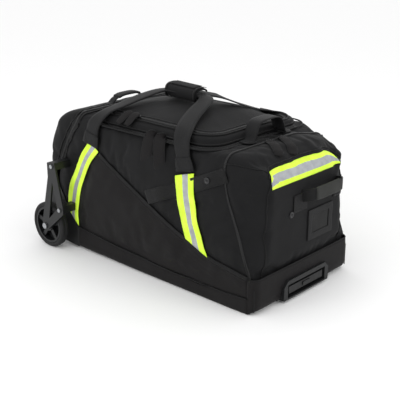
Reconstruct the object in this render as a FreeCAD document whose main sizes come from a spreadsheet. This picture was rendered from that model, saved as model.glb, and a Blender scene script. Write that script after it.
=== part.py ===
"""Wheeled first-responder kit bag: a soft rectangular bag on a moulded base, with a telescopic trolley
handle in its right end (+X) and two wheels on truss brackets at its left end (-X).

Millimetres. The origin is on the floor under the middle of the bag, +X runs to the trolley end,
-Y is the near long side and +Z is up. "near" pieces stand at -Y and "far" pieces at +Y.
"""

import FreeCAD, Part
import os
import re
import Sketcher

os.makedirs("parts", exist_ok=True)
doc = FreeCAD.newDocument("kit_bag")

# ---------------------------------------------------------------- driving dimensions
DIMENSIONS = {
    # the bag's fabric body
    "half_length": 400,
    "half_width": 210,
    "panel_thick": 6,
    "deck_top": 405,
    "base_top": 50,
    "wall": 5,
    "gap": 1,
    "corner_round": 50,
    # moulded base and stern
    "base_half_width": 213,
    "rail_height": 4,
    "tray_left": -270,
    "tray_right": 412,
    "housing_left": -404,
    "housing_top": 245,
    # lid
    "lid_left": -215,
    "lid_right": 250,
    "lid_half_width": 192,
    "lid_bottom": 407,
    "lid_round": 60,
    # wheels and their brackets
    "wheel_radius": 70,
    "wheel_x": -350,
    "wheel_inner_face": 239,
    "wheel_width": 26,
    "axle_radius": 5,
    "bush_radius": 11,
    "rim_radius": 56,
    "hub_radius": 19,
    "running_clearance": 0.05,
    "bracket_face": 267,
    "bracket_thick": 6,
    # trolley handle
    "tube_y": 60,
    "tube_z": 30,
    "outer_tube_w": 24,
    "outer_tube_h": 16,
    "tube_wall": 1.5,
    "tube_step": 3.8,
    "grip_half_length": 76,
    "housing_half_width": 100,
    # straps
    "strap_width": 50,
    "strap_thick": 4,
    "handle_foot_x": 180,
    "handle_foot_y": 218.2,
    "handle_foot_z": 340,
    "grip_height": 486,
    "wrap_radius": 22,
}

dims = doc.addObject("Spreadsheet::Sheet", "Dims")
for row, (alias, number) in enumerate(DIMENSIONS.items(), start=1):
    dims.set(f"A{row}", alias)
    dims.set(f"B{row}", str(number))
    dims.setAlias(f"B{row}", alias)
doc.recompute()


def formula(text):
    """An expression on the sheet: every alias in the text gets the sheet's name in front of it."""
    return re.sub(
        r"[a-z_]+",
        lambda word: "Dims." + word.group() if word.group() in DIMENSIONS else word.group(),
        str(text),
    )


# ---------------------------------------------------------------- building blocks
def block(name, x, y, z):
    """A rectangular block; x, y and z are (low, high) pairs of numbers or sheet expressions."""
    solid = doc.addObject("Part::Box", name)
    for size, axis, (low, high) in zip(("Length", "Width", "Height"), "xyz", (x, y, z)):
        solid.setExpression(size, formula(f"({high}) - ({low})"))
        solid.setExpression(f"Placement.Base.{axis}", formula(low))
    return solid


def rod(name, radius, length, base, axis):
    """A round rod that starts at base and runs along axis, which is +X, +Y or +Z."""
    turns = {
        "x": FreeCAD.Rotation(FreeCAD.Vector(0, 1, 0), 90),
        "y": FreeCAD.Rotation(FreeCAD.Vector(1, 0, 0), -90),
        "z": FreeCAD.Rotation(),
    }
    solid = doc.addObject("Part::Cylinder", name)
    solid.setExpression("Radius", formula(radius))
    solid.setExpression("Height", formula(length))
    solid.Placement = FreeCAD.Placement(FreeCAD.Vector(0, 0, 0), turns[axis])
    for letter, value in zip("xyz", base):
        solid.setExpression(f"Placement.Base.{letter}", formula(value))
    return solid


def outline_sketch(body, name, plane, points, start):
    """A closed outline on one of the body's own planes, every corner held by two dimensions."""
    sketch = body.newObject("Sketcher::SketchObject", name)
    support = [f for f in body.Origin.OriginFeatures if f.Role == plane][0]
    sketch.AttachmentSupport = [(support, "")]
    sketch.MapMode = "FlatFace"
    sketch.setExpression("AttachmentOffset.Base.z", formula(start))
    count = len(points)
    guide = [FreeCAD.Vector(*(number_of(v) for v in point), 0) for point in points]
    for i in range(count):
        sketch.addGeometry(Part.LineSegment(guide[i], guide[(i + 1) % count]))
    for i in range(count):
        sketch.addConstraint(Sketcher.Constraint("Coincident", i, 2, (i + 1) % count, 1))
    for i, point in enumerate(points):
        for kind, value, start_value in zip(("DistanceX", "DistanceY"), point, guide[i]):
            held = sketch.addConstraint(Sketcher.Constraint(kind, -1, 1, i, 1, start_value))
            if isinstance(value, str):
                sketch.setExpression(f"Constraints[{held}]", formula(value))
    return sketch


def number_of(value):
    """The present value of a number or of a sheet expression."""
    if not isinstance(value, str):
        return float(value)
    return float(dims.evalExpression(formula(value)))


def prism(name, plane, points, start, depth):
    """A body padded from an outline; start and depth are measured along the plane's normal."""
    body = doc.addObject("PartDesign::Body", name)
    sketch = outline_sketch(body, name + "_outline", plane, points, start)
    pad = body.newObject("PartDesign::Pad", name + "_pad")
    pad.Profile = sketch
    pad.setExpression("Length", formula(depth))
    return body


def side_prism(name, side, points, inner, outer):
    """An X-Z outline as a slab between two distances from the middle plane, on the side asked for."""
    start = inner if side == "near" else f"-({outer})"
    return prism(name, "XZ_Plane", points, start, f"({outer}) - ({inner})")


def through_prism(name, points, half_width):
    """An X-Z outline across the whole width, from +half_width to -half_width."""
    return prism(name, "XZ_Plane", points, f"-({half_width})", f"2 * ({half_width})")


def rounded_slab(name, x, half_width, z, radius):
    """A slab whose four upright edges are rounded."""
    low, high = x
    points = [(low, f"-({half_width})"), (high, f"-({half_width})"), (high, half_width), (low, half_width)]
    body = prism(name, "XY_Plane", points, z[0], f"({z[1]}) - ({z[0]})")
    doc.recompute()
    pad = body.Tip
    upright = [
        f"Edge{i}"
        for i, edge in enumerate(pad.Shape.Edges, start=1)
        if abs(edge.tangentAt(edge.FirstParameter).z) > 0.99
    ]
    fillet = body.newObject("PartDesign::Fillet", name + "_corners")
    fillet.Base = (pad, upright)
    fillet.setExpression("Radius", formula(radius))
    body.Tip = fillet
    return body


def cut(name, base, tool):
    result = doc.addObject("Part::Cut", name)
    result.Base = base
    result.Tool = tool
    return result


def joined(name, *shapes):
    result = doc.addObject("Part::MultiFuse", name)
    result.Shapes = list(shapes)
    return result


def common(name, *shapes):
    result = doc.addObject("Part::MultiCommon", name)
    result.Shapes = list(shapes)
    return result


def group(name, *shapes):
    """Separate solids kept in one node."""
    result = doc.addObject("Part::Compound", name)
    result.Links = list(shapes)
    return result


def mirrored(points):
    """The same run of (y, z) points on the other side of the bag, in reverse order."""
    return [(-y, z) for y, z in reversed(points)]


NODES = []


def node(solid):
    """Keeps a finished sub-part under its own label."""
    solid.Label = solid.Name
    NODES.append(solid)
    return solid


SIDES = (("near", -1), ("far", 1))

# Arch seams of the end compartments, as (x, z), from bottom to deck.
RIGHT_SEAM = [(392, 84), (346, 237), (315, 335), (311, 386), (308, "deck_top")]
LEFT_SEAM = [(-334, 251), (-322, 290), (-276, 370), (-246, "deck_top")]
HOUSING_EDGE = [(-385, 245), (-309, 121), (-273, 76)]


def shifted(points, distance):
    """A seam moved along X."""
    return [(x + distance, z) for x, z in points]


# ---------------------------------------------------------------- moulded base
def base_tray():
    """Open tray under the bag, with a notch in its right end for the handle housing."""
    outer = block("tray_outer", ("tray_left", "tray_right"), ("-base_half_width", "base_half_width"),
                  ("rail_height", "base_top"))
    hollow = block("tray_hollow", ("tray_left + wall", "tray_right - wall"),
                   ("-base_half_width + wall", "base_half_width - wall"),
                   ("rail_height + wall", "base_top + 1"))
    notch = block("tray_notch", ("396", "tray_right + 1"),
                  ("-housing_half_width - gap", "housing_half_width + gap"),
                  ("rail_height - 1", "base_top + 1"))
    return cut("base_tray", cut("tray_shell", outer, hollow), notch)


def skid_rails():
    rails = [
        block(f"skid_rail_{i}", ("tray_left + 20", "tray_right - 30"), (y - 6, y + 6), (0, "rail_height"))
        for i, y in enumerate((-140, 0, 140))
    ]
    return group("skid_rails", *rails)


def wheel_housing():
    """Stern shell between the wheels: two cheeks, an end wall and a floor, open to the bag."""
    outer = [("tray_left - gap", 6), (-330, 10), (-392, 50), ("housing_left", 120),
             ("housing_left", "housing_top"), *HOUSING_EDGE, ("tray_left - gap", 74)]
    inner = [(-200, 12), (-328, 16), (-387, 54), ("housing_left + 6", 122), ("housing_left + 6", 300),
             (-200, 300)]
    return cut("wheel_housing", through_prism("stern_outer", outer, "base_half_width"),
               through_prism("stern_hollow", inner, "base_half_width - wall"))


def handle_housing():
    """Moulded plate round the stowed trolley grip; the recess is open to +X and takes the fingers."""
    corners = [("-housing_half_width", 8), ("housing_half_width", 8), ("housing_half_width", 46),
               ("housing_half_width - 16", 62), ("16 - housing_half_width", 62), ("-housing_half_width", 46)]
    outline = prism("housing_block", "YZ_Plane", corners, 396, 28)
    recess = block("housing_recess", (401, 425), ("-grip_half_length - 8", "grip_half_length + 8"), (12, 50))
    holes = [
        block(f"housing_tube_hole_{side}", (395, 402),
              (f"{sign} * tube_y - outer_tube_w / 2 + 1", f"{sign} * tube_y + outer_tube_w / 2 - 1"),
              ("tube_z - outer_tube_h / 2 + 1", "tube_z + outer_tube_h / 2 - 1"))
        for side, sign in SIDES
    ]
    return cut("handle_housing", cut("housing_with_recess", outline, recess), group("housing_holes", *holes))


node(base_tray())
node(skid_rails())
node(wheel_housing())
node(handle_housing())
node(block("base_board", ("tray_left + 4", 396), ("-half_width + 8", "half_width - 8"),
           ("base_top + gap", "base_top + 6")))
node(block("end_sill", (398, 410), ("-half_width + 2", "half_width - 2"), (63, 80)))


# ---------------------------------------------------------------- fabric body
def side_panel(side):
    left_seam = shifted(LEFT_SEAM, 1)
    right_seam = shifted(RIGHT_SEAM, -1)
    outline = [("tray_left + 1", "base_top + gap"), ("tray_left + 1", 79), (-306, 122), (-383, 246),
               (-387, 250), (-333, 250), *left_seam[1:], *reversed(right_seam), (397, 81), (397, "base_top + gap")]
    return side_prism(f"side_panel_{side}", side, outline, "half_width - panel_thick", "half_width")


def side_pocket(side):
    """Diagonal overlay pocket, highest at the left reflective strip."""
    outline = [(-268, 52), (-268, 76), (-236, 229), (-176, 340), (-154, 320), (5, 238), (169, 158),
               (328, 113), (384, 104), (384, 52)]
    return side_prism(f"side_pocket_{side}", side, outline, "half_width + 0.5", "half_width + 4")


def side_tapes(side):
    """Two reflective strips sewn to the side, 60 mm wide."""
    left = [(-310, 122), (-272, 80), (-228, 229), (-161, 328), (-196, 353), (-277, 229)]
    right = [(178, 158), (244, 131), (214, 235), (204, 340), (141, 325), (153, 235)]
    return group(f"side_tapes_{side}", *(
        side_prism(f"side_tape_{side}_{end}", side, outline, "half_width + 4.5", "half_width + 5.7")
        for end, outline in (("left", left), ("right", right))
    ))


def divider(name, x):
    return block(name, (x, x + 5), ("-half_width + 8", "half_width - 8"),
                 ("base_top + 7", "deck_top - panel_thick - 1"))


def top_deck():
    """Fixed top round the lid's opening, between the two end compartments."""
    plate = block("deck_plate", (-244, 305), ("-half_width", "half_width"),
                  ("deck_top + 0.5", "deck_top + 3.5"))
    opening = rounded_slab("deck_opening", ("lid_left - 7", "lid_right + 7"), "lid_half_width + 7",
                           ("deck_top - 20", "deck_top + 20"), "lid_round")
    return cut("top_deck", plate, opening)


def main_zip():
    """Zip chain round the lid's opening."""
    outer = rounded_slab("main_zip_outer", ("lid_left - 6", "lid_right + 6"), "lid_half_width + 6",
                         ("deck_top - 3", "deck_top + 1"), "lid_round")
    inner = rounded_slab("main_zip_inner", ("lid_left + 1", "lid_right - 1"), "lid_half_width - 1",
                         ("deck_top - 20", "deck_top + 20"), "lid_round - 7")
    return cut("main_zip", outer, inner)


for side, sign in SIDES:
    node(side_panel(side))
    node(side_pocket(side))
    node(side_tapes(side))
node(divider("divider_left", -240))
node(divider("divider_right", 302))
node(top_deck())
node(main_zip())

# ---------------------------------------------------------------- lid
LID_RIM = [(-192, "lid_bottom"), (-192, 418)]
LID_SLOPE = [(-178, 432), (-150, 446), (-90, 455), (0, 459)]
LID_PROFILE = [*LID_RIM, *LID_SLOPE, *mirrored(LID_SLOPE[:-1]), (192, 418), (192, "lid_bottom")]
LID_HOLLOW = [(-186, 390), (-186, 416), (-174, 427), (-148, 440), (-89, 449), (89, 449), (148, 440),
              (174, 427), (186, 416), (186, 390)]
POCKET_SLOPE = [(-150, 446.4), (-90, 455.4), (0, 459.4), (90, 455.4), (150, 446.4)]


def lid_shell():
    along = ("lid_left", "lid_right")
    outer = common(
        "lid_outer",
        prism("lid_dome", "YZ_Plane", LID_PROFILE, along[0], "lid_right - lid_left"),
        rounded_slab("lid_plan", along, "lid_half_width", ("lid_bottom - 1", 480), "lid_round"),
    )
    inner = common(
        "lid_inner",
        prism("lid_hollow", "YZ_Plane", LID_HOLLOW, "lid_left + wall", "lid_right - lid_left - 2 * wall"),
        rounded_slab("lid_hollow_plan", ("lid_left + wall", "lid_right - wall"), "lid_half_width - wall",
                     (380, 480), "lid_round - wall"),
    )
    return cut("lid_shell", outer, inner)


def lid_pocket():
    """Flat pocket panel on the lid, following its dome."""
    outline = [*POCKET_SLOPE, *((y, z + 2.6) for y, z in reversed(POCKET_SLOPE))]
    return prism("lid_pocket", "YZ_Plane", outline, "lid_left + 85", 340)


def pocket_zip():
    """Zip chain along the near edge of the lid pocket."""
    outline = [(-172, 435.5), (-156, 443.5), (-156, 445.5), (-172, 437.5)]
    return prism("pocket_zip", "YZ_Plane", outline, -105, 250)


node(lid_shell())
node(lid_pocket())
node(pocket_zip())


# ---------------------------------------------------------------- zip sliders and pullers
def main_slider(name, x):
    return block(f"{name}_slider", (x - 6, x + 6), (-209, -200), (409, 414))


def main_puller(name, x):
    """Long fabric puller that hangs over the edge of the deck."""
    top = block(f"{name}_puller_top", (x - 4, x + 4), (-222, -209.5), (410, 413))
    tab = block(f"{name}_puller_tab", (x - 14, x + 14), (-222, -219), (328, 413))
    return joined(f"{name}_puller", top, tab)


def pocket_slider(name, x):
    return block(f"{name}_slider", (x - 6, x + 6), (-170, -161), (444, 449))


def pocket_puller(name, x):
    """Fabric puller that lies down the near slope of the lid."""
    outline = [(-171, 444), (-186, 436), (-207, 417), (-209, 419), (-187, 439), (-171, 447)]
    return prism(f"{name}_puller", "YZ_Plane", outline, x - 11, 22)


for name, x in (("main_zip_left", 61), ("main_zip_right", 93)):
    node(main_slider(name, x))
    node(main_puller(name, x))
for name, x in (("pocket_zip_left", -66), ("pocket_zip_right", -40)):
    node(pocket_slider(name, x))
    node(pocket_puller(name, x))


# ---------------------------------------------------------------- end compartments
def dish(name, profile, hollow, plan_x):
    """A D-shaped end cap: an outer solid with rounded upright corners, hollowed from the bag's side."""
    outer = common(
        f"{name}_outer",
        through_prism(f"{name}_profile", profile, "half_width"),
        rounded_slab(f"{name}_plan", plan_x, "half_width", (20, 500), "corner_round"),
    )
    low, high = plan_x
    inner = common(
        f"{name}_inner",
        through_prism(f"{name}_hollow", hollow, "half_width - panel_thick"),
        rounded_slab(f"{name}_hollow_plan", (f"{low} + panel_thick", f"{high} - panel_thick"),
                     "half_width - panel_thick", (20, 500), "corner_round - panel_thick"),
    )
    return cut(name, outer, inner)


def end_cap_right():
    profile = [("half_length", 84), ("half_length", 350), (386, 386), (360, 405), (308, 409),
               (308, "deck_top"), *reversed(RIGHT_SEAM[:4])]
    hollow = [("half_length - panel_thick", 70), ("half_length - panel_thick", 348), (381, 382), (358, 399),
              (307, 403), (200, 403), (200, 70)]
    return dish("end_cap_right", profile, hollow, (-500, "half_length"))


def end_cap_left():
    profile = [(-404, 252), (-404, 270), (-392, 333), (-350, 390), (-277, 420), (-246, 424),
               (-246, "deck_top + 1"), *reversed(LEFT_SEAM[:3])]
    hollow = [(-398, 240), (-398, 270), (-387, 330), (-346, 385), (-275, 414), (-246, 418), (-100, 418),
              (-100, 240)]
    return dish("end_cap_left", profile, hollow, (-404, 500))


def end_tape():
    """Reflective strip across the end cap, 50 mm wide with slanted ends."""
    outline = [(-150, 327), (163, 327), (163, 340), (136, 364), (101, 377), (-117, 377), (-150, 361)]
    return prism("end_tape", "YZ_Plane", outline, "half_length + 0.4", 1.2)


def id_window_frame():
    frame = block("window_frame_plate", ("half_length + 0.4", "half_length + 3"), (15, 125), (148, 239))
    hole = block("window_frame_hole", ("half_length", "half_length + 4"), (36, 106), (163, 229))
    return cut("id_window_frame", frame, hole)


def end_grab_handle():
    """Webbing handle between two anchor patches on the end cap."""
    feet = [block(f"end_handle_foot_{i}", ("half_length + 0.4", "half_length + 4.4"), (y, y + 48), (242, 290))
            for i, y in enumerate((-62, 128))]
    legs = [block(f"end_handle_leg_{i}", ("half_length + 3", 446), (y, y + 4), (272, 302))
            for i, y in enumerate((-18, 128))]
    bar = block("end_handle_bar", (442, 446), (-18, 132), (272, 302))
    return joined("end_grab_handle", *feet, *legs, bar)


def end_handle_grip():
    """Ribbed rubber sleeve round the end handle's webbing."""
    sleeve = block("end_grip_sleeve", (437, 451), (2, 112), (268, 306))
    bore = block("end_grip_bore", (441.8, 446.2), (1, 113), (271.8, 302.2))
    return cut("end_handle_grip", sleeve, bore)


node(end_cap_right())
node(end_cap_left())
node(end_tape())
node(id_window_frame())
node(block("id_window_film", ("half_length + 0.4", "half_length + 1.4"), (37, 105), (164, 228)))
node(end_grab_handle())
node(end_handle_grip())


# ---------------------------------------------------------------- webbing handles
def strap(name, route, width):
    """Flat webbing along a route of (x, y, z) points, its width along X."""
    centres = [FreeCAD.Vector(*point) for point in route]
    half = number_of(width) / 2
    thick = number_of("strap_thick") / 2
    wires = []
    for i, centre in enumerate(centres):
        before = centres[max(i - 1, 0)]
        after = centres[min(i + 1, len(centres) - 1)]
        run = after - before
        normal = FreeCAD.Vector(0, -run.z, run.y).normalize() * thick
        across = FreeCAD.Vector(half, 0, 0)
        corners = [centre - across - normal, centre + across - normal, centre + across + normal,
                   centre - across + normal]
        wires.append(Part.makePolygon([*corners, corners[0]]))
    webbing = doc.addObject("Part::Feature", name)
    webbing.Shape = Part.makeLoft(wires, True, True)
    return webbing


def carry_handle(side, sign):
    """Two webbing legs that rise from the side, cross the lid's edge and meet at a folded grip."""
    legs = []
    for end in (-1, 1):
        foot = number_of("handle_foot_x") * end
        route = [
            (foot, number_of("handle_foot_y") * sign, number_of("handle_foot_z")),
            (foot - 6 * end, 218.5 * sign, 398),
            (foot - 15 * end, 213.5 * sign, 417),
            (foot - 30 * end, 187 * sign, 440),
            (foot - 50 * end, 148 * sign, 458),
            (foot - 90 * end, 24 * sign, 490),
        ]
        legs.append(strap(f"carry_leg_{side}_{'left' if end < 0 else 'right'}", route, "strap_width"))
    inner, outer = sorted((3 * sign, 24 * sign))
    bar = block(f"carry_grip_{side}", (-110, 110), (inner, outer), ("grip_height - 10", "grip_height + 8"))
    return joined(f"carry_handle_{side}", *legs, bar)


def handle_wrap():
    """Padded hook-and-loop wrap round both grips, open towards the far side."""
    radius = number_of("wrap_radius")
    centre = number_of("grip_height")
    outline = [(-16, centre - radius), (16, centre - radius), (30, centre - 9), (30, centre + 9),
               (16, centre + radius), (-16, centre + radius), (-30, centre + 9), (-30, centre - 9)]
    hollow = [(-13, centre - radius + 5), (13, centre - radius + 5), (26, centre - 11), (60, centre - 11),
              (60, centre + 11), (26, centre + 11), (13, centre + radius - 5), (-13, centre + radius - 5),
              (-26, centre + 11), (-26, centre - 11)]
    return cut("handle_wrap", prism("wrap_outer", "YZ_Plane", outline, -62, 124),
               prism("wrap_hollow", "YZ_Plane", hollow, -63, 126))


def top_grab(name, x, width, base, rise):
    """Webbing arch across the top of the bag, over one end."""
    outline = [(-84, base), (-62, base), (-52, base + rise - 9), (52, base + rise - 9), (62, base), (84, base),
               (84, base + 4), (66, base + 4), (56, base + rise), (-56, base + rise), (-66, base + 4),
               (-84, base + 4)]
    return prism(name, "YZ_Plane", outline, x - width / 2, width)


for side, sign in SIDES:
    node(carry_handle(side, sign))
node(handle_wrap())
node(top_grab("top_grab_right", 276, 44, 409, 54))
node(top_grab("top_grab_left", -266, 24, 424.6, 28))


# ---------------------------------------------------------------- wheels
def wheel_bracket(side):
    """Triangular truss plate outboard of the wheel, with a window between its three arms."""
    outline = [(-362, 60), (-338, 60), (-262, 126), (-262, 148), (-292, 279), (-312, 279), (-362, 84)]
    window = [(-330, 98), (-288, 138), (-306, 218)]
    plate = side_prism(f"bracket_plate_{side}", side, outline, "bracket_face", "bracket_face + bracket_thick")
    opening = side_prism(f"bracket_window_{side}", side, window, "bracket_face - 5", "bracket_face + 15")
    return cut(f"wheel_bracket_{side}", plate, opening)


def standoffs(side, sign):
    """Posts from the bag's side to the bracket's upper corners: one on the panel, one on the tape."""
    posts = []
    for i, (x, z, root) in enumerate(((-303, 267, 210.4), (-280, 137, 216.2))):
        inner, outer = sorted((sign * root, sign * 266.6))
        posts.append(block(f"post_{side}_{i}", (x - 11, x + 11), (inner, outer), (z - 11, z + 11)))
    return group(f"bracket_posts_{side}", *posts)


def bracket_bolts():
    heads = []
    for side, sign in SIDES:
        start = -277.4 if sign < 0 else 273.4
        for i, (x, z) in enumerate(((-303, 267), (-277, 137))):
            heads.append(rod(f"bolt_head_{side}_{i}", 6, 4, (x, start, z), "y"))
    return group("bracket_bolts", *heads)


def wheel_axle(side, sign):
    """Steel axle held in the housing and bracket, with a head outside the bracket."""
    start = -275 if sign < 0 else 214
    head = -277.4 if sign < 0 else 273.4
    shank = rod(f"axle_shank_{side}", "axle_radius", 61, ("wheel_x", start, "wheel_radius"), "y")
    cap = rod(f"axle_head_{side}", 9, 4, ("wheel_x", head, "wheel_radius"), "y")
    return joined(f"wheel_axle_{side}", shank, cap)


def wheel_start(sign):
    return "-wheel_inner_face - wheel_width" if sign < 0 else "wheel_inner_face"


def hub_rod(name, sign, radius, trim=0):
    """A rod on the wheel's axis, as wide as the wheel less a trim at each face."""
    base = ("wheel_x", f"{wheel_start(sign)} + {trim}", "wheel_radius")
    return rod(name, radius, f"wheel_width - 2 * {trim}", base, "y")


def tyre(side, sign):
    outer = hub_rod(f"tyre_outer_{side}", sign, "wheel_radius")
    inner = hub_rod(f"tyre_inner_{side}", sign, "rim_radius + 0.2", -1)
    return cut(f"tyre_{side}", outer, inner)


def rim(side, sign):
    """Rim ring, hub and five twin-ribbed spokes in one moulding."""
    ring = cut(f"rim_ring_{side}", hub_rod(f"rim_outer_{side}", sign, "rim_radius", 2),
               hub_rod(f"rim_inner_{side}", sign, "rim_radius - 6", 1))
    hub = hub_rod(f"rim_hub_{side}", sign, "hub_radius", 1)
    web_start = -244 if sign < 0 else 241
    web = rod(f"rim_web_{side}", "rim_radius - 4", 3, ("wheel_x", web_start, "wheel_radius"), "y")
    spokes = []
    for i in range(5):
        spoke = block(f"rim_spoke_{side}_{i}", (0, "rim_radius - 4"),
                      (f"{wheel_start(sign)} + 6", f"{wheel_start(sign)} + 20"), (-6, 6))
        angle = 90 + 72 * i
        spoke.Placement.Rotation = FreeCAD.Rotation(FreeCAD.Vector(0, 1, 0), -angle)
        reach = FreeCAD.Rotation(FreeCAD.Vector(0, 1, 0), -angle).multVec(FreeCAD.Vector(0, 0, -6))
        spoke.setExpression("Placement.Base.x", formula(f"wheel_x + ({reach.x})"))
        spoke.setExpression("Placement.Base.z", formula(f"wheel_radius + ({reach.z})"))
        spokes.append(spoke)
    solid = joined(f"rim_solid_{side}", ring, hub, web, *spokes)
    return cut(f"rim_{side}", solid, hub_rod(f"rim_bore_{side}", sign, "bush_radius", -2))


def bush(side, sign):
    return cut(f"bush_{side}", hub_rod(f"bush_outer_{side}", sign, "bush_radius - 0.02", 1),
               hub_rod(f"bush_bore_{side}", sign, "axle_radius + running_clearance", -2))


for side, sign in SIDES:
    axle = wheel_axle(side, sign)
    drill_start = -300 if sign < 0 else 205
    drill = rod(f"axle_drill_{side}", "axle_radius + 0.02", 90, ("wheel_x", drill_start, "wheel_radius"), "y")
    bracket = wheel_bracket(side)
    drilled = cut(f"bracket_{side}", bracket, drill)
    node(drilled)
    node(standoffs(side, sign))
    node(axle)
    node(tyre(side, sign))
    node(rim(side, sign))
    node(bush(side, sign))
node(bracket_bolts())


# ---------------------------------------------------------------- trolley handle
def tube_pair(name, step, x):
    """Two rectangular tubes side by side; each step down is thinner by tube_step."""
    tubes = []
    for side, sign in SIDES:
        half_w = f"(outer_tube_w / 2 - {step} * tube_step / 2)"
        half_h = f"(outer_tube_h / 2 - {step} * tube_step / 2)"
        outer = block(f"{name}_outer_{side}", x, (f"{sign} * tube_y - {half_w}", f"{sign} * tube_y + {half_w}"),
                      (f"tube_z - {half_h}", f"tube_z + {half_h}"))
        inner = block(f"{name}_inner_{side}", (x[0] - 1, x[1] + 1),
                      (f"{sign} * tube_y - {half_w} + tube_wall", f"{sign} * tube_y + {half_w} - tube_wall"),
                      (f"tube_z - {half_h} + tube_wall", f"tube_z + {half_h} - tube_wall"))
        tubes.append(cut(f"{name}_{side}", outer, inner))
    return group(name, *tubes)


def tube_anchor():
    """Cross-bar that holds the rear ends of the outer tubes to the tray."""
    return block("tube_anchor", (-138, -118.4), (-86, 86), (9.5, 44))


def trolley_grip():
    """Moulded grip with a pocket for the release button."""
    bar = block("grip_bar", (403, 421), ("-grip_half_length", "grip_half_length"), (22, 42))
    pocket = block("grip_button_pocket", (412, 422), (-16.4, 16.4), (26.6, 37.4))
    return cut("trolley_grip", bar, pocket)


node(tube_pair("outer_tubes", 0, (-118, 395.5)))
node(tube_pair("middle_tubes", 1, (-110, 398)))
node(tube_pair("inner_tubes", 2, (-100, 402.6)))
node(tube_anchor())
node(trolley_grip())
node(block("release_button", (416, 423.5), (-16, 16), (27, 37)))


# ---------------------------------------------------------------- checks and files
doc.recompute()
for item in doc.Objects:
    if {"Invalid", "Error"} & set(item.State):
        raise RuntimeError(f"{item.Name} failed to compute: {item.State}")
for part in NODES:
    if part.Shape.isNull() or not part.Shape.isValid() or part.Shape.Volume <= 0:
        raise RuntimeError(f"{part.Label} has no valid solid")
for part in NODES:
    part.Shape.exportStep(f"parts/{part.Label}.step")
print(len(NODES), "sub-parts written")
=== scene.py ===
import math

import bmesh
import bpy
import numpy as np
from mathutils import Matrix, Vector, noise
from mathutils.bvhtree import BVHTree


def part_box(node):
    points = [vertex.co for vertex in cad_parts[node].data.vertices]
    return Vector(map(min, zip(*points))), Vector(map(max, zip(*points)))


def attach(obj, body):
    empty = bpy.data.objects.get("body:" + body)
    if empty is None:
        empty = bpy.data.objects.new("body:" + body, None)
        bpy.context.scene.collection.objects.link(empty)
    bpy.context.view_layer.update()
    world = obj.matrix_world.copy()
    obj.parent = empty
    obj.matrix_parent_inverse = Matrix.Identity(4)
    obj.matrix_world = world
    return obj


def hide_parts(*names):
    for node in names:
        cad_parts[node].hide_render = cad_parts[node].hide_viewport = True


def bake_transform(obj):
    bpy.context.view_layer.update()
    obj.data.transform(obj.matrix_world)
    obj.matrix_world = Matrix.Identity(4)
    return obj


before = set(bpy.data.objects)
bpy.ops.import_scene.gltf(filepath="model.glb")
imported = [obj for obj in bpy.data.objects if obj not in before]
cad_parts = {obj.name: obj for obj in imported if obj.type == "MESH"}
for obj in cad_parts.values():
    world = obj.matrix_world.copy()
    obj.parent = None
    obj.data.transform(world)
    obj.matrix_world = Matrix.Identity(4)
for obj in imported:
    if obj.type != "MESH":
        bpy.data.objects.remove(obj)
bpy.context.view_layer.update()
MM = 0.001
SIDES = (("near", -1), ("far", 1))


def low(name):
    """The lowest corner of a CAD node, in millimetres."""
    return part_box(name)[0] / MM


def high(name):
    """The highest corner of a CAD node, in millimetres."""
    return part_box(name)[1] / MM


# ---------------------------------------------------------------- sizes, in millimetres
HALF_W = high("side_panel_far").y
DECK = low("top_deck").z
BASE_TOP = high("base_tray").z
RIGHT = high("end_cap_right").x
LEFT = low("end_cap_left").x
LEFT_TOP = high("end_cap_left").z
CAP_FOOT = low("end_cap_right").z
LEFT_CAP_FOOT = low("end_cap_left").z
LID_LOW, LID_HIGH = low("lid_shell"), high("lid_shell")
LID_X = (LID_LOW.x + LID_HIGH.x) / 2
LID_HALF_X = (LID_HIGH.x - LID_LOW.x) / 2
LID_HALF_Y = LID_HIGH.y
LID_CORNER = 60
# The lid's zip and piping stop at this y on both ends, where the hinge side begins.
HINGE_EDGE = 150
# The height of the carry handles' grip, which the padded wrap is folded round.
WRAP_Z = 487.5

# Where the end caps' arch seams run, as (x, z) up the bag's side.
RIGHT_SEAM = [(400, 40), (399, 84), (372, 160), (346, 237), (322, 295), (313, 335), (310, 362), (309, 386),
              (308, 405)]
LEFT_SEAM = [(-272, 40), (-274, 78), (-302, 115), (-335, 165), (-350, 200), (-342, 240), (-322, 290),
             (-300, 335), (-276, 370), (-246, 405)]
# The top edge of the diagonal side pocket, as (x, z).
POCKET_EDGE = [(-154, 322), (-79, 280), (5, 238), (77, 200), (169, 158), (260, 125), (328, 112), (398, 102)]


# ---------------------------------------------------------------- colour and nodes
def linear(hex_colour):
    """An sRGB hex colour as linear RGBA."""
    channels = [int(hex_colour[i : i + 2], 16) / 255 for i in (1, 3, 5)]
    return (*(c / 12.92 if c <= 0.04045 else ((c + 0.055) / 1.055) ** 2.4 for c in channels), 1.0)


def add(tree, kind, settings=None, values=None, links=None):
    """One node with its settings, the constants on its sockets and the links into it."""
    made = tree.nodes.new(kind)
    for name, value in (settings or {}).items():
        setattr(made, name, value)
    for socket, value in (values or {}).items():
        made.inputs[socket].default_value = value
    for socket, source in (links or {}).items():
        tree.links.new(source, made.inputs[socket])
    return made


def material(name, **values):
    """A material with a Principled shader whose constants are set on its own sockets."""
    made = bpy.data.materials.new(name)
    made.use_nodes = True
    shader = made.node_tree.nodes["Principled BSDF"]
    for socket, value in values.items():
        shader.inputs[socket.replace("_", " ")].default_value = value
    made.diffuse_color = values.get("Base_Color", (0.5, 0.5, 0.5, 1))
    return made, made.node_tree, shader


def wire(tree, shader, colour=None, roughness=None, normal=None):
    """Links what is given to the shader's own sockets."""
    for socket, source in (("Base Color", colour), ("Roughness", roughness), ("Normal", normal)):
        if source is not None:
            tree.links.new(source, shader.inputs[socket])


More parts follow.
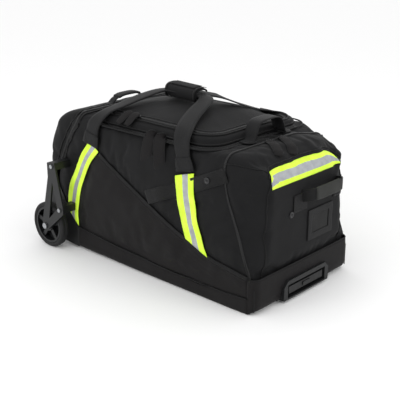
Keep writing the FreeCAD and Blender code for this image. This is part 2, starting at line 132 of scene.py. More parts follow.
def two_tone(tree, factor, dark, light, start=0.35, stop=0.65):
    """A colour that goes from dark to light as the pattern rises from start to stop."""
    ramp = add(tree, "ShaderNodeValToRGB", links={"Fac": factor})
    ramp.color_ramp.elements[0].position = start
    ramp.color_ramp.elements[0].color = linear(dark)
    ramp.color_ramp.elements[1].position = stop
    ramp.color_ramp.elements[1].color = linear(light)
    return ramp.outputs["Color"]


def spread(tree, factor, least, most):
    """A pattern of 0 to 1 stretched to run from least to most."""
    return add(tree, "ShaderNodeMapRange", values={"To Min": least, "To Max": most},
               links={"Value": factor}).outputs["Result"]


# ---------------------------------------------------------------- materials
def woven(name, dark, light, thread, depth, rough=(0.62, 0.8), sheen=0.03):
    """Woven polyester: crossed threads seen as a fine grid, with slow patches of shade from handling."""
    made, tree, shader = material(name, Sheen_Weight=sheen, Sheen_Roughness=0.45, Specular_IOR_Level=0.13)
    coords = add(tree, "ShaderNodeTexCoord")
    place = add(tree, "ShaderNodeMapping", {"vector_type": "POINT"}, links={"Vector": coords.outputs["UV"]})
    turn = 2 * math.pi / (thread * MM)
    waves = []
    for axis in ("X", "Y"):
        waves.append(add(tree, "ShaderNodeTexWave", {"wave_type": "BANDS", "bands_direction": axis,
                                                     "wave_profile": "SIN"},
                         {"Scale": turn / 20, "Distortion": 0.6, "Detail": 1.0, "Detail Scale": 2.0},
                         {"Vector": place.outputs["Vector"]}))
    cross = add(tree, "ShaderNodeMath", {"operation": "MULTIPLY"},
                links={0: waves[0].outputs["Fac"], 1: waves[1].outputs["Fac"]})
    patches = add(tree, "ShaderNodeTexNoise", values={"Scale": 9.0, "Detail": 5.0, "Roughness": 0.55},
                  links={"Vector": coords.outputs["Object"]})
    grain = add(tree, "ShaderNodeTexNoise", values={"Scale": 420.0, "Detail": 2.0},
                links={"Vector": coords.outputs["Object"]})
    shade = add(tree, "ShaderNodeMath", {"operation": "MULTIPLY_ADD"}, {1: 0.35},
                {0: cross.outputs[0], 2: patches.outputs["Fac"]})
    colour = two_tone(tree, shade.outputs[0], dark, light, 0.4, 0.85)
    height = add(tree, "ShaderNodeMath", {"operation": "MULTIPLY_ADD"}, {1: 0.5},
                 {0: grain.outputs["Fac"], 2: cross.outputs[0]})
    bump = add(tree, "ShaderNodeBump", values={"Strength": 0.5, "Distance": depth * MM},
               links={"Height": height.outputs[0]})
    wire(tree, shader, colour, spread(tree, patches.outputs["Fac"], *rough), bump.outputs["Normal"])
    return made


def webbing(name, dark, light, rib=3.0):
    """Flat nylon webbing: ribs across the strap every few millimetres and a bound edge."""
    made, tree, shader = material(name, Sheen_Weight=0.03, Sheen_Roughness=0.4, Specular_IOR_Level=0.18)
    coords = add(tree, "ShaderNodeTexCoord")
    ribs = add(tree, "ShaderNodeTexWave",
               {"wave_type": "BANDS", "bands_direction": "X", "wave_profile": "SIN"},
               {"Scale": 2 * math.pi / (rib * MM) / 20, "Distortion": 0.3}, {"Vector": coords.outputs["UV"]})
    rows = add(tree, "ShaderNodeTexWave",
               {"wave_type": "BANDS", "bands_direction": "Y", "wave_profile": "SIN"},
               {"Scale": 2 * math.pi / (2.2 * rib * MM) / 20, "Distortion": 0.2},
               {"Vector": coords.outputs["UV"]})
    patches = add(tree, "ShaderNodeTexNoise", values={"Scale": 14.0, "Detail": 4.0},
                  links={"Vector": coords.outputs["Object"]})
    height = add(tree, "ShaderNodeMath", {"operation": "MULTIPLY_ADD"}, {1: 0.4},
                 {0: rows.outputs["Fac"], 2: ribs.outputs["Fac"]})
    bump = add(tree, "ShaderNodeBump", values={"Strength": 0.6, "Distance": 0.5 * MM},
               links={"Height": height.outputs[0]})
    wire(tree, shader, two_tone(tree, patches.outputs["Fac"], dark, light),
         spread(tree, patches.outputs["Fac"], 0.5, 0.7), bump.outputs["Normal"])
    return made


def moulded(name, dark, light, rough=(0.38, 0.55), grain=900.0, depth=0.12):
    """Injection-moulded plastic with a fine spark-eroded texture, a little rubbed where it is handled."""
    made, tree, shader = material(name, IOR=1.5, Specular_IOR_Level=0.35)
    coords = add(tree, "ShaderNodeTexCoord")
    patches = add(tree, "ShaderNodeTexNoise", values={"Scale": 16.0, "Detail": 6.0, "Roughness": 0.6},
                  links={"Vector": coords.outputs["Object"]})
    pits = add(tree, "ShaderNodeTexNoise", values={"Scale": grain, "Detail": 2.0},
               links={"Vector": coords.outputs["Object"]})
    bump = add(tree, "ShaderNodeBump", values={"Strength": 0.5, "Distance": depth * MM},
               links={"Height": pits.outputs["Fac"]})
    wire(tree, shader, two_tone(tree, patches.outputs["Fac"], dark, light),
         spread(tree, patches.outputs["Fac"], *rough), bump.outputs["Normal"])
    return made


def metal(name, dark, light, rough=(0.25, 0.42)):
    """Drawn metal with fine lines along its length."""
    made, tree, shader = material(name, Metallic=1.0)
    coords = add(tree, "ShaderNodeTexCoord")
    stretch = add(tree, "ShaderNodeMapping", values={"Scale": (30.0, 1200.0, 1200.0)},
                  links={"Vector": coords.outputs["Object"]})
    lines = add(tree, "ShaderNodeTexNoise", values={"Scale": 1.0, "Detail": 3.0},
                links={"Vector": stretch.outputs[0]})
    wire(tree, shader, two_tone(tree, lines.outputs["Fac"], dark, light),
         spread(tree, lines.outputs["Fac"], *rough))
    return made


def hi_vis_yellow():
    """Fluorescent polyester carrier of the reflective tape: matt and faintly woven, made brighter by a weak
    painted glow.
    """
    # The weak yellow emission is a painted glow that lights the tape beyond what the lamps give.
    made, tree, shader = material("fluorescent_yellow_polyester_painted_glow", Roughness=0.6, Emission_Strength=0.1,
                                  Emission_Color=linear("#CFFF2E"))
    coords = add(tree, "ShaderNodeTexCoord")
    patches = add(tree, "ShaderNodeTexNoise", values={"Scale": 30.0, "Detail": 4.0},
                  links={"Vector": coords.outputs["Object"]})
    weave = add(tree, "ShaderNodeTexChecker", values={"Scale": 900.0}, links={"Vector": coords.outputs["UV"]})
    bump = add(tree, "ShaderNodeBump", values={"Strength": 0.15, "Distance": 0.2 * MM},
               links={"Height": weave.outputs["Fac"]})
    wire(tree, shader, two_tone(tree, patches.outputs["Fac"], "#C4E82C", "#D4F646"),
         normal=bump.outputs["Normal"])
    return made


def hi_vis_silver():
    """Glass-bead retroreflective strip: a soft grey that brightens towards the light, with a fine hatch."""
    made, tree, shader = material("glass_bead_silver", Metallic=0.12, Specular_IOR_Level=0.5)
    coords = add(tree, "ShaderNodeTexCoord")
    hatch = add(tree, "ShaderNodeTexWave", {"wave_type": "BANDS", "bands_direction": "DIAGONAL"},
                {"Scale": 2 * math.pi / (2.5 * MM) / 20}, {"Vector": coords.outputs["UV"]})
    beads = add(tree, "ShaderNodeTexNoise", values={"Scale": 60.0, "Detail": 6.0},
                links={"Vector": coords.outputs["Object"]})
    bump = add(tree, "ShaderNodeBump", values={"Strength": 0.2, "Distance": 0.15 * MM},
               links={"Height": hatch.outputs["Fac"]})
    wire(tree, shader, two_tone(tree, beads.outputs["Fac"], "#93969A", "#A6A9AC"),
         spread(tree, beads.outputs["Fac"], 0.42, 0.6), bump.outputs["Normal"])
    return made


def ribbed_rubber(name, dark, light):
    """Soft-touch rubber: matt, slightly dusty, with a pebbled skin."""
    made, tree, shader = material(name, Specular_IOR_Level=0.4)
    coords = add(tree, "ShaderNodeTexCoord")
    dust = add(tree, "ShaderNodeTexNoise", values={"Scale": 24.0, "Detail": 6.0},
               links={"Vector": coords.outputs["Object"]})
    pebble = add(tree, "ShaderNodeTexVoronoi", values={"Scale": 700.0},
                 links={"Vector": coords.outputs["Object"]})
    bump = add(tree, "ShaderNodeBump", values={"Strength": 0.4, "Distance": 0.15 * MM},
               links={"Height": pebble.outputs["Distance"]})
    wire(tree, shader, two_tone(tree, dust.outputs["Fac"], dark, light),
         spread(tree, dust.outputs["Fac"], 0.65, 0.85), bump.outputs["Normal"])
    return made


def clear_film():
    """Clear PVC window over a dark card: softly glossy and slightly rippled."""
    made, tree, shader = material("clear_pvc_film", Base_Color=linear("#101112"), Roughness=0.3,
                                  IOR=1.53, Specular_IOR_Level=0.12)
    coords = add(tree, "ShaderNodeTexCoord")
    ripple = add(tree, "ShaderNodeTexNoise", values={"Scale": 26.0, "Detail": 2.0},
                 links={"Vector": coords.outputs["Object"]})
    bump = add(tree, "ShaderNodeBump", values={"Strength": 0.35, "Distance": 1.5 * MM},
               links={"Height": ripple.outputs["Fac"]})
    wire(tree, shader, two_tone(tree, ripple.outputs["Fac"], "#040404", "#090A0A"),
         normal=bump.outputs["Normal"])
    return made


BODY_CLOTH = woven("woven_polyester", "#0E0E0F", "#19191A", 1.8, 0.22)
POCKET = woven("coated_polyester", "#110F10", "#1B1A1A", 1.5, 0.2, rough=(0.58, 0.74))
DARK_CLOTH = woven("padded_polyester", "#0E0E0F", "#181819", 2.0, 0.35)
STRAP = webbing("nylon_webbing", "#0F0F10", "#19191A")
BINDING = webbing("bias_binding", "#0B0B0B", "#141415", rib=2.0)
ZIP_TAPE = webbing("zip_tape", "#080809", "#111112", rib=1.6)
COIL = moulded("nylon_zip_coil", "#060607", "#101011", rough=(0.28, 0.4))
SLIDER = moulded("black_nickel_slider", "#131314", "#242426", rough=(0.2, 0.35))
THREAD = moulded("polyester_thread", "#070708", "#121213", rough=(0.5, 0.65))
YELLOW = hi_vis_yellow()
SILVER = hi_vis_silver()
BASE = moulded("moulded_polypropylene", "#111112", "#1B1B1C", rough=(0.42, 0.6))
HOUSING = moulded("moulded_abs", "#0F1011", "#191A1B", rough=(0.4, 0.55))
BRACKET = moulded("glass_filled_nylon", "#0E0F10", "#191A1B", rough=(0.36, 0.5))
BOARD = moulded("polypropylene_sheet", "#1E1E1F", "#2A2A2B", rough=(0.4, 0.55))
RUBBER = ribbed_rubber("grip_rubber", "#1B1C1A", "#292A27")
DARK_RUBBER = ribbed_rubber("handle_rubber", "#161616", "#222222")
TYRE = ribbed_rubber("tyre_polyurethane", "#0D0D0E", "#171718")
STEEL = metal("turned_steel", "#8D8F92", "#B4B6B8")
ALUMINIUM = metal("anodised_aluminium", "#55575A", "#73767A")
BUSH = moulded("acetal", "#B9B8B2", "#CFCEC8", rough=(0.25, 0.35))
FILM = clear_film()


# ---------------------------------------------------------------- mesh helpers
def build(name, verts, faces, mats, uvs=None, face_mats=None):
    """A smooth mesh object from points in millimetres; uvs are per vertex, in millimetres too."""
    mesh = bpy.data.meshes.new(name)
    mesh.from_pydata([Vector(v) * MM for v in verts], [], faces)
    for one in mats:
        mesh.materials.append(one)
    layer = mesh.uv_layers.new(name="UVMap")
    for loop in mesh.loops:
        v = loop.vertex_index
        u = uvs[v] if uvs else (verts[v][0] + 0.31 * verts[v][1], verts[v][2] + 0.17 * verts[v][1])
        layer.data[loop.index].uv = (u[0] * MM, u[1] * MM)
    if face_mats:
        mesh.polygons.foreach_set("material_index", face_mats)
    mesh.polygons.foreach_set("use_smooth", [True] * len(mesh.polygons))
    mesh.update()
    piece = bpy.data.objects.new(name, mesh)
    bpy.context.scene.collection.objects.link(piece)
    return piece


def grid_faces(rows, columns, start=0):
    """Quads over a grid of rows by columns whose points are stored row by row."""
    faces = []
    for r in range(rows - 1):
        for c in range(columns - 1):
            here = start + r * columns + c
            faces.append((here, here + 1, here + columns + 1, here + columns))
    return faces


def ring_faces(rings, count, closed=False):
    """Quads between rings of count points each; closed also joins the last ring to the first."""
    faces = []
    for r in range(rings if closed else rings - 1):
        after = (r + 1) % rings
        for k in range(count):
            n = (k + 1) % count
            faces.append((r * count + k, r * count + n, after * count + n, after * count + k))
    return faces


def end_faces(rings, count):
    """The two flat faces that close a run of rings."""
    return [tuple(range(count - 1, -1, -1)), tuple((rings - 1) * count + k for k in range(count))]


def ahead(points, i):
    """The step from the point before i to the one after it, which shows the way the line runs there."""
    return points[min(i + 1, len(points) - 1)] - points[max(i - 1, 0)]


def distances(points):
    """How far along a line each of its points lies."""
    run = [0.0]
    for i in range(1, len(points)):
        run.append(run[-1] + (points[i] - points[i - 1]).length)
    return run


def resample(points, step):
    """Evenly spaced points along a line."""
    run = distances(points)
    marks = np.linspace(0, run[-1], max(2, round(run[-1] / step) + 1))
    axes = [np.interp(marks, run, [p[k] for p in points]) for k in range(3)]
    return [Vector(p) for p in zip(*axes)]


def spline(points, step):
    """Points every step or so along a smooth curve through the given points."""
    given = [Vector(p) for p in points]
    ends = [given[0] * 2 - given[1], *given, given[-1] * 2 - given[-2]]
    out = []
    for i in range(1, len(ends) - 2):
        a, b, c, d = ends[i - 1 : i + 3]
        count = max(1, round((c - b).length / step))
        for k in range(count):
            t = k / count
            curve = 2 * b + (c - a) * t + (2 * a - 5 * b + 4 * c - d) * t * t + (3 * b - a - 3 * c + d) * t**3
            out.append(0.5 * curve)
    return [*out, given[-1]]


def spline_2d(points, step):
    """A smooth curve through (a, b) pairs."""
    return [(p.x, p.y) for p in spline([(a, b, 0) for a, b in points], step)]


def rounded(values, passes):
    """Averages each point with its neighbours, the ends held."""
    for _ in range(passes):
        inner = [(values[i - 1] + values[i] * 2 + values[i + 1]) / 4 for i in range(1, len(values) - 1)]
        values = [values[0], *inner, values[-1]]
    return values


def between(corners, steps):
    """Points along straight lines from corner to corner, with steps of them to each line."""
    return [tuple(p + (q - p) * i / steps for p, q in zip(a, b))
            for a, b in zip(corners, corners[1:]) for i in range(steps)]


def outward(piece):
    """Turns a closed or open mesh's faces to agree, facing away from the bag's middle."""
    mesh = bmesh.new()
    mesh.from_mesh(piece.data)
    bmesh.ops.recalc_face_normals(mesh, faces=mesh.faces)
    middle = Vector((0, 0, 0.2))
    vote = sum((f.calc_center_median() - middle).dot(f.normal) * f.calc_area() for f in mesh.faces)
    if vote < 0:
        bmesh.ops.reverse_faces(mesh, faces=mesh.faces)
    mesh.to_mesh(piece.data)
    mesh.free()
    return piece


def recalc(piece):
    """Turns a closed mesh's faces to agree, facing out."""
    mesh = bmesh.new()
    mesh.from_mesh(piece.data)
    bmesh.ops.recalc_face_normals(mesh, faces=mesh.faces)
    mesh.to_mesh(piece.data)
    mesh.free()
    return piece


def thicken(piece, thickness):
    """Gives a sheet its cloth thickness, inward from its outer face."""
    solid = piece.modifiers.new("thickness", "SOLIDIFY")
    solid.thickness = thickness * MM
    solid.offset = -1
    solid.use_even_offset = False


def soften(piece, width):
    """Rounds the sharp edges of a hard part."""
    bevel = piece.modifiers.new("soft_edges", "BEVEL")
    bevel.width = width * MM
    bevel.segments = 2
    bevel.limit_method = "ANGLE"
    bevel.angle_limit = math.radians(35)
    bevel.harden_normals = False


def strip(name, points, normals, widths, thickness, mats, body=None, crown=0.0):
    """A flat strap along points. normals point away from what it lies on; widths may vary."""
    if not isinstance(widths, list):
        widths = [widths] * len(points)
    # The section, as shares of the half width and of the thickness.
    section = [(-1, 0), (-1, 1), (-0.6, 1), (-0.2, 1), (0.2, 1), (0.6, 1), (1, 1), (1, 0), (0.33, 0),
               (-0.33, 0)]
    run = distances(points)
    verts, uvs = [], []
    for i, point in enumerate(points):
        tangent = ahead(points, i).normalized()
        normal = normals[i] if isinstance(normals, list) else normals
        across = tangent.cross(normal).normalized()
        up = across.cross(tangent).normalized()
        for side, lift in section:
            rise = lift * (thickness + crown * (1 - side * side))
            soft = 0.94 if lift and abs(side) == 1 else 1.0
            verts.append(point + across * side * soft * widths[i] / 2 + up * rise)
            uvs.append((run[i], side * widths[i] / 2))
    faces = ring_faces(len(points), len(section)) + end_faces(len(points), len(section))
    piece = recalc(build(name, verts, faces, mats, uvs))
    if body:
        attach(piece, body)
    return piece


def tube(name, points, radius, mats, body, sides=8):
    """A round cord or rod along points."""
    run = distances(points)
    verts, uvs = [], []
    for i, point in enumerate(points):
        tangent = ahead(points, i).normalized()
        guide = Vector((0, 0, 1)) if abs(tangent.z) < 0.9 else Vector((1, 0, 0))
        across = tangent.cross(guide).normalized()
        up = across.cross(tangent)
        for k in range(sides):
            angle = 2 * math.pi * k / sides
            verts.append(point + across * math.cos(angle) * radius + up * math.sin(angle) * radius)
            uvs.append((run[i], angle * radius))
    faces = ring_faces(len(points), sides) + end_faces(len(points), sides)
    piece = recalc(build(name, verts, faces, mats, uvs))
    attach(piece, body)
    return piece


def join(name, parts, body):
    """Joins several loose pieces into one."""
    bpy.ops.object.select_all(action="DESELECT")
    for part in parts:
        part.parent = None
        part.select_set(True)
    bpy.context.view_layer.objects.active = parts[0]
    bpy.ops.object.join()
    whole = parts[0]
    whole.name = name
    whole.data.name = name
    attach(whole, body)
    return whole


def turned(name, profile, centre, mats, body, sides):
    """A solid of revolution about Y through centre; profile is a closed loop of (radius, y)."""
    verts, uvs = [], []
    for k in range(sides):
        angle = 2 * math.pi * k / sides
        for radius, y in profile:
            verts.append((centre[0] + radius * math.cos(angle), y, centre[2] + radius * math.sin(angle)))
            uvs.append((angle * 60, y))
    piece = recalc(build(name, verts, ring_faces(sides, len(profile), closed=True), mats, uvs))
    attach(piece, body)
    return piece


def press_stud(name, body, spot, turn):
    """The domed cap of a press stud, turned to face out from the cloth at spot."""
    profile = [(0.01, 0), (9, 0), (9, 1.2), (7.5, 2.6), (5.5, 2.8), (4.5, 1.8), (0.01, 1.6)]
    stud = turned(name, profile, (0, 0, 0), [SLIDER], body, 28)
    stud.data.transform(Matrix.Translation(spot * MM) @ turn)


# ---------------------------------------------------------------- soft shapes
def part_way(value, start, stop):
    """How far a value has gone from start to stop, held between 0 and 1."""
    return min(max((value - start) / (stop - start), 0), 1)


def smooth(t):
    """Eases from 0 to 1."""
    t = min(max(t, 0.0), 1.0)
    return t * t * (3 - 2 * t)


def round_corner(a, b, corner_a, corner_b, radius_a, radius_b):
    """Pulls a point on a box's outline in to an elliptical corner; corners lie at positive a and b."""
    da = (a - corner_a + radius_a) / radius_a
    db = (b - corner_b + radius_b) / radius_b
    if da <= 0 or db <= 0:
        return a, b
    pull = 1 - (1 - max(da, db) / math.hypot(da, db)) * max(da, db) ** 2
    return corner_a - radius_a + radius_a * da * pull, corner_b - radius_b + radius_b * db * pull


def far_fall(x, y, z):
    """How far the roof sinks towards the right end's far corner."""
    return 21 * smooth((y - 55) / 135) * smooth((x - 240) / 80) * smooth((z - 300) / 95)


def along(points, z):
    """The x of a seam at height z."""
    return float(np.interp(z, [p[1] for p in points], [p[0] for p in points]))


SEAM_STEP = 6
RIGHT_CURVE = spline([(x, 0, z) for x, z in RIGHT_SEAM], SEAM_STEP)
LEFT_CURVE = spline([(x, 0, z) for x, z in LEFT_SEAM], SEAM_STEP)
RIGHT_TABLE = [(p.x, p.z) for p in RIGHT_CURVE]
LEFT_TABLE = [(p.x, p.z) for p in LEFT_CURVE]


def girth(bottom, top, step):
    """(y, z) stops up the near side, over the top and down the far side."""
    rise = round((top - bottom) / step)
    over = round(2 * HALF_W / step)
    near = [(-HALF_W, bottom + (top - bottom) * i / rise) for i in range(rise)]
    roof = [(-HALF_W + 2 * HALF_W * i / over, top) for i in range(over)]
    far = [(HALF_W, top - (top - bottom) * i / rise) for i in range(rise + 1)]
    return near + roof + far


def crumple(x, y, z, size, seed):
    """A smooth random height between -1 and 1, with folds of about the given size."""
    return noise.fractal(Vector((x / size + seed, y / size - seed, z / size + 2 * seed)), 0.8, 2.0, 3)


def top_height(x):
    """The deck rises a little towards the left end."""
    return DECK + (LEFT_TOP - DECK - 1) * smooth((-150 - x) / 100)


def cloth(piece, pinned, pressure, shrink):
    """Blows a sheet up a little between its seams, so that the fabric pulls and puckers as sewn cloth does."""
    frames, stiffness = 18, 12
    furthest = 14 * MM
    group = piece.vertex_groups.new(name="seams")
    for index, weight in pinned.items():
        group.add([index], weight, "REPLACE")
    sim = piece.modifiers.new("cloth", "CLOTH")
    sim.settings.quality = 4
    sim.settings.mass = 0.3
    sim.settings.tension_stiffness = stiffness
    sim.settings.compression_stiffness = stiffness
    sim.settings.shear_stiffness = 4
    sim.settings.bending_stiffness = 0.6
    sim.settings.use_pressure = True
    sim.settings.uniform_pressure_force = pressure
    sim.settings.shrink_min = shrink
    sim.settings.vertex_group_mass = "seams"
    sim.settings.pin_stiffness = 1.0
    sim.settings.effector_weights.gravity = 0
    sim.collision_settings.use_collision = False
    sim.point_cache.frame_start = 1
    sim.point_cache.frame_end = frames
    scene = bpy.context.scene
    for frame_number in range(1, frames + 1):
        scene.frame_set(frame_number)
    rest = [v.co.copy() for v in piece.data.vertices]
    posed = piece.evaluated_get(bpy.context.evaluated_depsgraph_get()).to_mesh()
    moved = [v.co.copy() for v in posed.vertices]
    piece.modifiers.remove(sim)
    scene.frame_set(1)
    for v, before, after in zip(piece.data.vertices, rest, moved):
        step = after - before
        if step.length > furthest:
            step *= furthest / step.length
        v.co = before + step
    piece.data.update()


def surface_of(*pieces):
    """A search tree for the outer surface of one or more soft pieces."""
    verts, faces = [], []
    for piece in pieces:
        start = len(verts)
        verts += [v.co / MM for v in piece.data.vertices]
        faces += [tuple(i + start for i in p.vertices) for p in piece.data.polygons]
    return BVHTree.FromPolygons(verts, faces)


def lay(tree, start, direction, lift, fallback):
    """The point where a ray meets a soft surface, raised by lift; fallback is used past its edge."""
    hit, _, _, _ = tree.ray_cast(Vector(start), Vector(direction))
    return (hit if hit else Vector(fallback)) - Vector(direction) * lift


# ---------------------------------------------------------------- the bag's walls
def in_lid_plan(x, y, margin):
    """True inside the lid's rounded outline, drawn in by margin."""
    dx = max(abs(x - LID_X) - (LID_HALF_X - margin) + LID_CORNER, 0)
    dy = max(abs(y) - (LID_HALF_Y - margin) + LID_CORNER, 0)
    return math.hypot(dx, dy) < LID_CORNER


def tape_pull(x, z):
    """How firmly the side is held at (x, z) by the tapes and the pocket's edge sewn to it."""
    edge = np.interp(x, [p[0] for p in POCKET_EDGE], [p[1] for p in POCKET_EDGE])
    near_edge = abs(z - edge) < 7 and x > -154
    left_tape = -300 + (z - 110) * 0.5
    right_tape = 172 + max(0, 180 - z) * 0.6
    return near_edge or abs(x - left_tape) < 26 or abs(x - right_tape) < 24


def bag_shell():
    """The two long sides and the deck in one sheet, open at the lid."""
    stops = girth(BASE_TOP - 8, DECK, 9)
    columns = 84
    verts, uvs, pinned = [], [], {}
    walked = 0.0
    for s, (y, z) in enumerate(stops):
        x0, x1 = along(LEFT_TABLE, z), along(RIGHT_TABLE, z)
        if s:
            walked += math.hypot(y - stops[s - 1][0], z - stops[s - 1][1])
        for c in range(columns + 1):
            x = x0 + (x1 - x0) * c / columns
            top = top_height(x)
            height = z + (top - DECK) * part_way(z, 250, DECK)
            # The shoulder is tight beside the lid and rounder towards both ends.
            shoulder = 15 + 21 * part_way(x, 225, 305) + 17 * part_way(-x, 195, 255)
            side, up = round_corner(abs(y), height, HALF_W, top, shoulder, shoulder)
            up -= far_fall(x, y, up)
            mid = math.sin(math.pi * c / columns)
            swell = 5 * math.sin(math.pi * min(z / DECK, 1)) * mid if abs(y) == HALF_W else 0
            rumple = 2.2 * crumple(x, y, z, 95, 3.7) * min(1, mid * 2.5)
            verts.append((x, math.copysign(side + swell + rumple, y), up + (rumple if abs(y) < HALF_W else 0)))
            uvs.append((x, walked))
            index = len(verts) - 1
            rim = abs(y) < HALF_W and in_lid_plan(x, y, -14)
            if c < 2 or c > columns - 2 or s < 4 or s > len(stops) - 5 or rim:
                pinned[index] = 1.0
            elif abs(y) == HALF_W and tape_pull(x, z):
                pinned[index] = 0.7
    faces = []
    for face in grid_faces(len(stops), columns + 1):
        middle = sum((Vector(verts[i]) for i in face), Vector()) / 4
        if not (abs(middle.y) < HALF_W - 12 and in_lid_plan(middle.x, middle.y, 2)):
            faces.append(face)
    shell = outward(build("bag_shell", verts, faces, [BODY_CLOTH], uvs))
    cloth(shell, pinned, 2.2, -0.02)
    return shell


def cap_shell(name, table, foot, top, end_x, radii, columns):
    """An arched end cap: cheeks and roof from the seam to the end, and the end face, in one sheet."""
    sign = 1 if end_x > 0 else -1
    corner, brow, shoulder, spread_to = radii
    step = 9
    rise, over = round((top - foot) / step), round(2 * HALF_W / step)
    stops = girth(foot, top, step)

    def shape(x, y, z):
        far = abs(x)
        reach = part_way(far, abs(end_x) - 85, abs(end_x)) * (spread_to - shoulder)
        side, up = round_corner(abs(y), z, HALF_W, top, shoulder + reach, shoulder + 0.55 * reach)
        least = 16 if sign > 0 else 38
        bend = least + (corner - least) * smooth((z - foot) / 150)
        side, far = round_corner(side, far, HALF_W, abs(end_x), bend, bend)
        up, far = round_corner(up, far, top, abs(end_x), brow, brow)
        if sign > 0:
            up -= far_fall(far, y, up)
        rumple = 2.0 * crumple(x, y, z, 85, 8.1)
        return sign * (far + rumple * (0.6 if far > abs(end_x) - 20 else 0)), math.copysign(side, y), up

    verts, uvs, pinned = [], [], {}
    for s, (y, z) in enumerate(stops):
        seam = along(table, min(z, DECK))
        for c in range(columns + 1):
            x = seam + (end_x - seam) * c / columns
            verts.append(shape(x, y, z))
            away = abs(end_x - x)
            uvs.append((y, top + away) if rise <= s < rise + over else (math.copysign(HALF_W + away, y), z))
            if c == 0 or s < 2 or s > len(stops) - 3:
                pinned[len(verts) - 1] = 1.0
    faces = grid_faces(len(stops), columns + 1)

    def rim(s):
        return s * (columns + 1) + columns

    index = {}
    for r in range(rise + 1):
        for c in range(over + 1):
            if c == 0:
                index[r, c] = rim(r)
            elif c == over:
                index[r, c] = rim(2 * rise + over - r)
            elif r == rise:
                index[r, c] = rim(rise + c)
            else:
                y = -HALF_W + 2 * HALF_W * c / over
                z = foot + (top - foot) * r / rise
                verts.append(shape(end_x, y, z))
                uvs.append((y, z))
                index[r, c] = len(verts) - 1
                if r < 2:
                    pinned[index[r, c]] = 1.0
    faces += [
        (index[r, c], index[r, c + 1], index[r + 1, c + 1], index[r + 1, c])
        for r in range(rise)
        for c in range(over)
    ]
    shell = outward(build(name, verts, faces, [BODY_CLOTH], uvs))
    cloth(shell, pinned, 2.6, -0.015)
    seam_line = [shell.data.vertices[s * (columns + 1)].co / MM for s in range(len(stops))]
    return shell, seam_line


def finish_shell(piece, body, nodes):
    """Thickness, a last smoothing, and what the piece stands for."""
    thicken(piece, 3.0)
    rounding = piece.modifiers.new("smooth", "SUBSURF")
    rounding.levels = rounding.render_levels = 1
    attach(piece, body)
    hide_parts(*nodes)
    return piece


shell = bag_shell()
# Each cap's radii: its upright corners, its brow, its shoulder at the seam and its shoulder at the end.
right_cap, right_seam_line = cap_shell("end_cap_right_shell", RIGHT_TABLE, CAP_FOOT, DECK + 3, RIGHT,
                                       (46, 46, 36, 140), 12)
left_cap, left_seam_line = cap_shell("end_cap_left_shell", LEFT_TABLE, LEFT_CAP_FOOT, LEFT_TOP, LEFT,
                                     (66, 142, 30, 44), 16)
SIDE_TREE = surface_of(shell)
RIGHT_TREE = surface_of(right_cap)
LEFT_TREE = surface_of(left_cap)
RIGHT_BOTH = surface_of(shell, right_cap)
finish_shell(shell, "bag", ["side_panel_near", "side_panel_far", "top_deck"])
finish_shell(right_cap, "cap_right", ["end_cap_right"])
finish_shell(left_cap, "cap_left", ["end_cap_left"])


def on_side(sign, lift):
    """Maps (x, z) to a point that lies on the long side."""
    def place(x, z):
        return lay(SIDE_TREE, (x, sign * (HALF_W + 60), z), (0, -sign, 0), lift, (x, sign * HALF_W, z))
    return place


def on_end(lift):
    """Maps (y, z) to a point on the right end."""
    def place(y, z):
        return lay(RIGHT_TREE, (RIGHT + 60, y, z), (-1, 0, 0), lift, (RIGHT, y, z))
    return place


def bridging(place, axis, sign, radius=15):
    """Wraps a placing function so that what it lays spans the fabric's small folds."""
    ring = [(radius * math.cos(a), radius * math.sin(a)) for a in np.linspace(0, math.tau, 9)[:-1]]

    def bridge(a, b):
        here = place(a, b)
        around = sum(sign * place(a + da, b + db)[axis] for da, db in ring) / len(ring)
        here[axis] = sign * max(sign * here[axis] - 1.2, around)
        return here
    return bridge


def band(name, edge_a, edge_b, place, mats, body, stripes, rows, across=6):
    """A flat sewn band between two edge curves of (a, b) pairs; stripes is (share of the width, material)."""
    def sampled(points):
        path = spline([(a, b, 0) for a, b in points], 4)
        run = distances(path)
        marks = np.linspace(0, run[-1], rows + 1)
        return [tuple(float(np.interp(mark, run, [p[k] for p in path])) for k in (0, 1)) for mark in marks]

    shares = sorted({0, *(share for share, _ in stripes)} | {i / across for i in range(across + 1)})
    verts, uvs = [], []
    for r, (a, b) in enumerate(zip(sampled(edge_a), sampled(edge_b))):
        for share in shares:
            p = (a[0] + (b[0] - a[0]) * share, a[1] + (b[1] - a[1]) * share)
            verts.append(place(*p))
            uvs.append(p)
    faces = grid_faces(rows + 1, len(shares))
    middles = [(a + b) / 2 for a, b in zip(shares, shares[1:])]
    kinds = [next(kind for share, kind in stripes if middle <= share) for middle in middles]
    piece = outward(build(name, verts, faces, mats, uvs, [kinds[f % len(kinds)] for f in range(len(faces))]))
    thicken(piece, 1.2)
    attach(piece, body)
    return piece


def stitch_line(name, points, normal, body, pitch=6.0):
    """A row of sewn stitches lying on a surface that faces along normal."""
    length, radius = 3.6, 0.5
    verts, faces = [], []
    run = distances(points)
    at = pitch / 2
    while at < run[-1] - pitch / 2:
        i = max(1, int(np.searchsorted(run, at)))
        span = run[i] - run[i - 1]
        t = (at - run[i - 1]) / span if span else 0
        middle = points[i - 1].lerp(points[i], t)
        tangent = (points[i] - points[i - 1]).normalized()
        across = tangent.cross(normal).normalized()
        start = len(verts)
        for along_it, lift in ((-0.5, 0.2), (-0.3, 1.0), (0.3, 1.0), (0.5, 0.2)):
            for side in (-1, 0, 1):
                rise = radius * lift * (1.0 if side == 0 else 0.3)
                verts.append(middle + tangent * along_it * length + across * side * radius + normal * rise)
        faces += grid_faces(4, 3, start)
        at += pitch
    piece = build(name, verts, faces, [THREAD])
    if body:
        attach(piece, body)
    return piece


def snap(tree, point, lift=0.0):
    """The nearest point on a soft surface, raised by lift, and the surface's direction there."""
    hit, normal, _, _ = tree.find_nearest(Vector(point))
    if normal.dot(hit - Vector((0, 0, 200))) < 0:
        normal = -normal
    return hit + normal * lift, normal


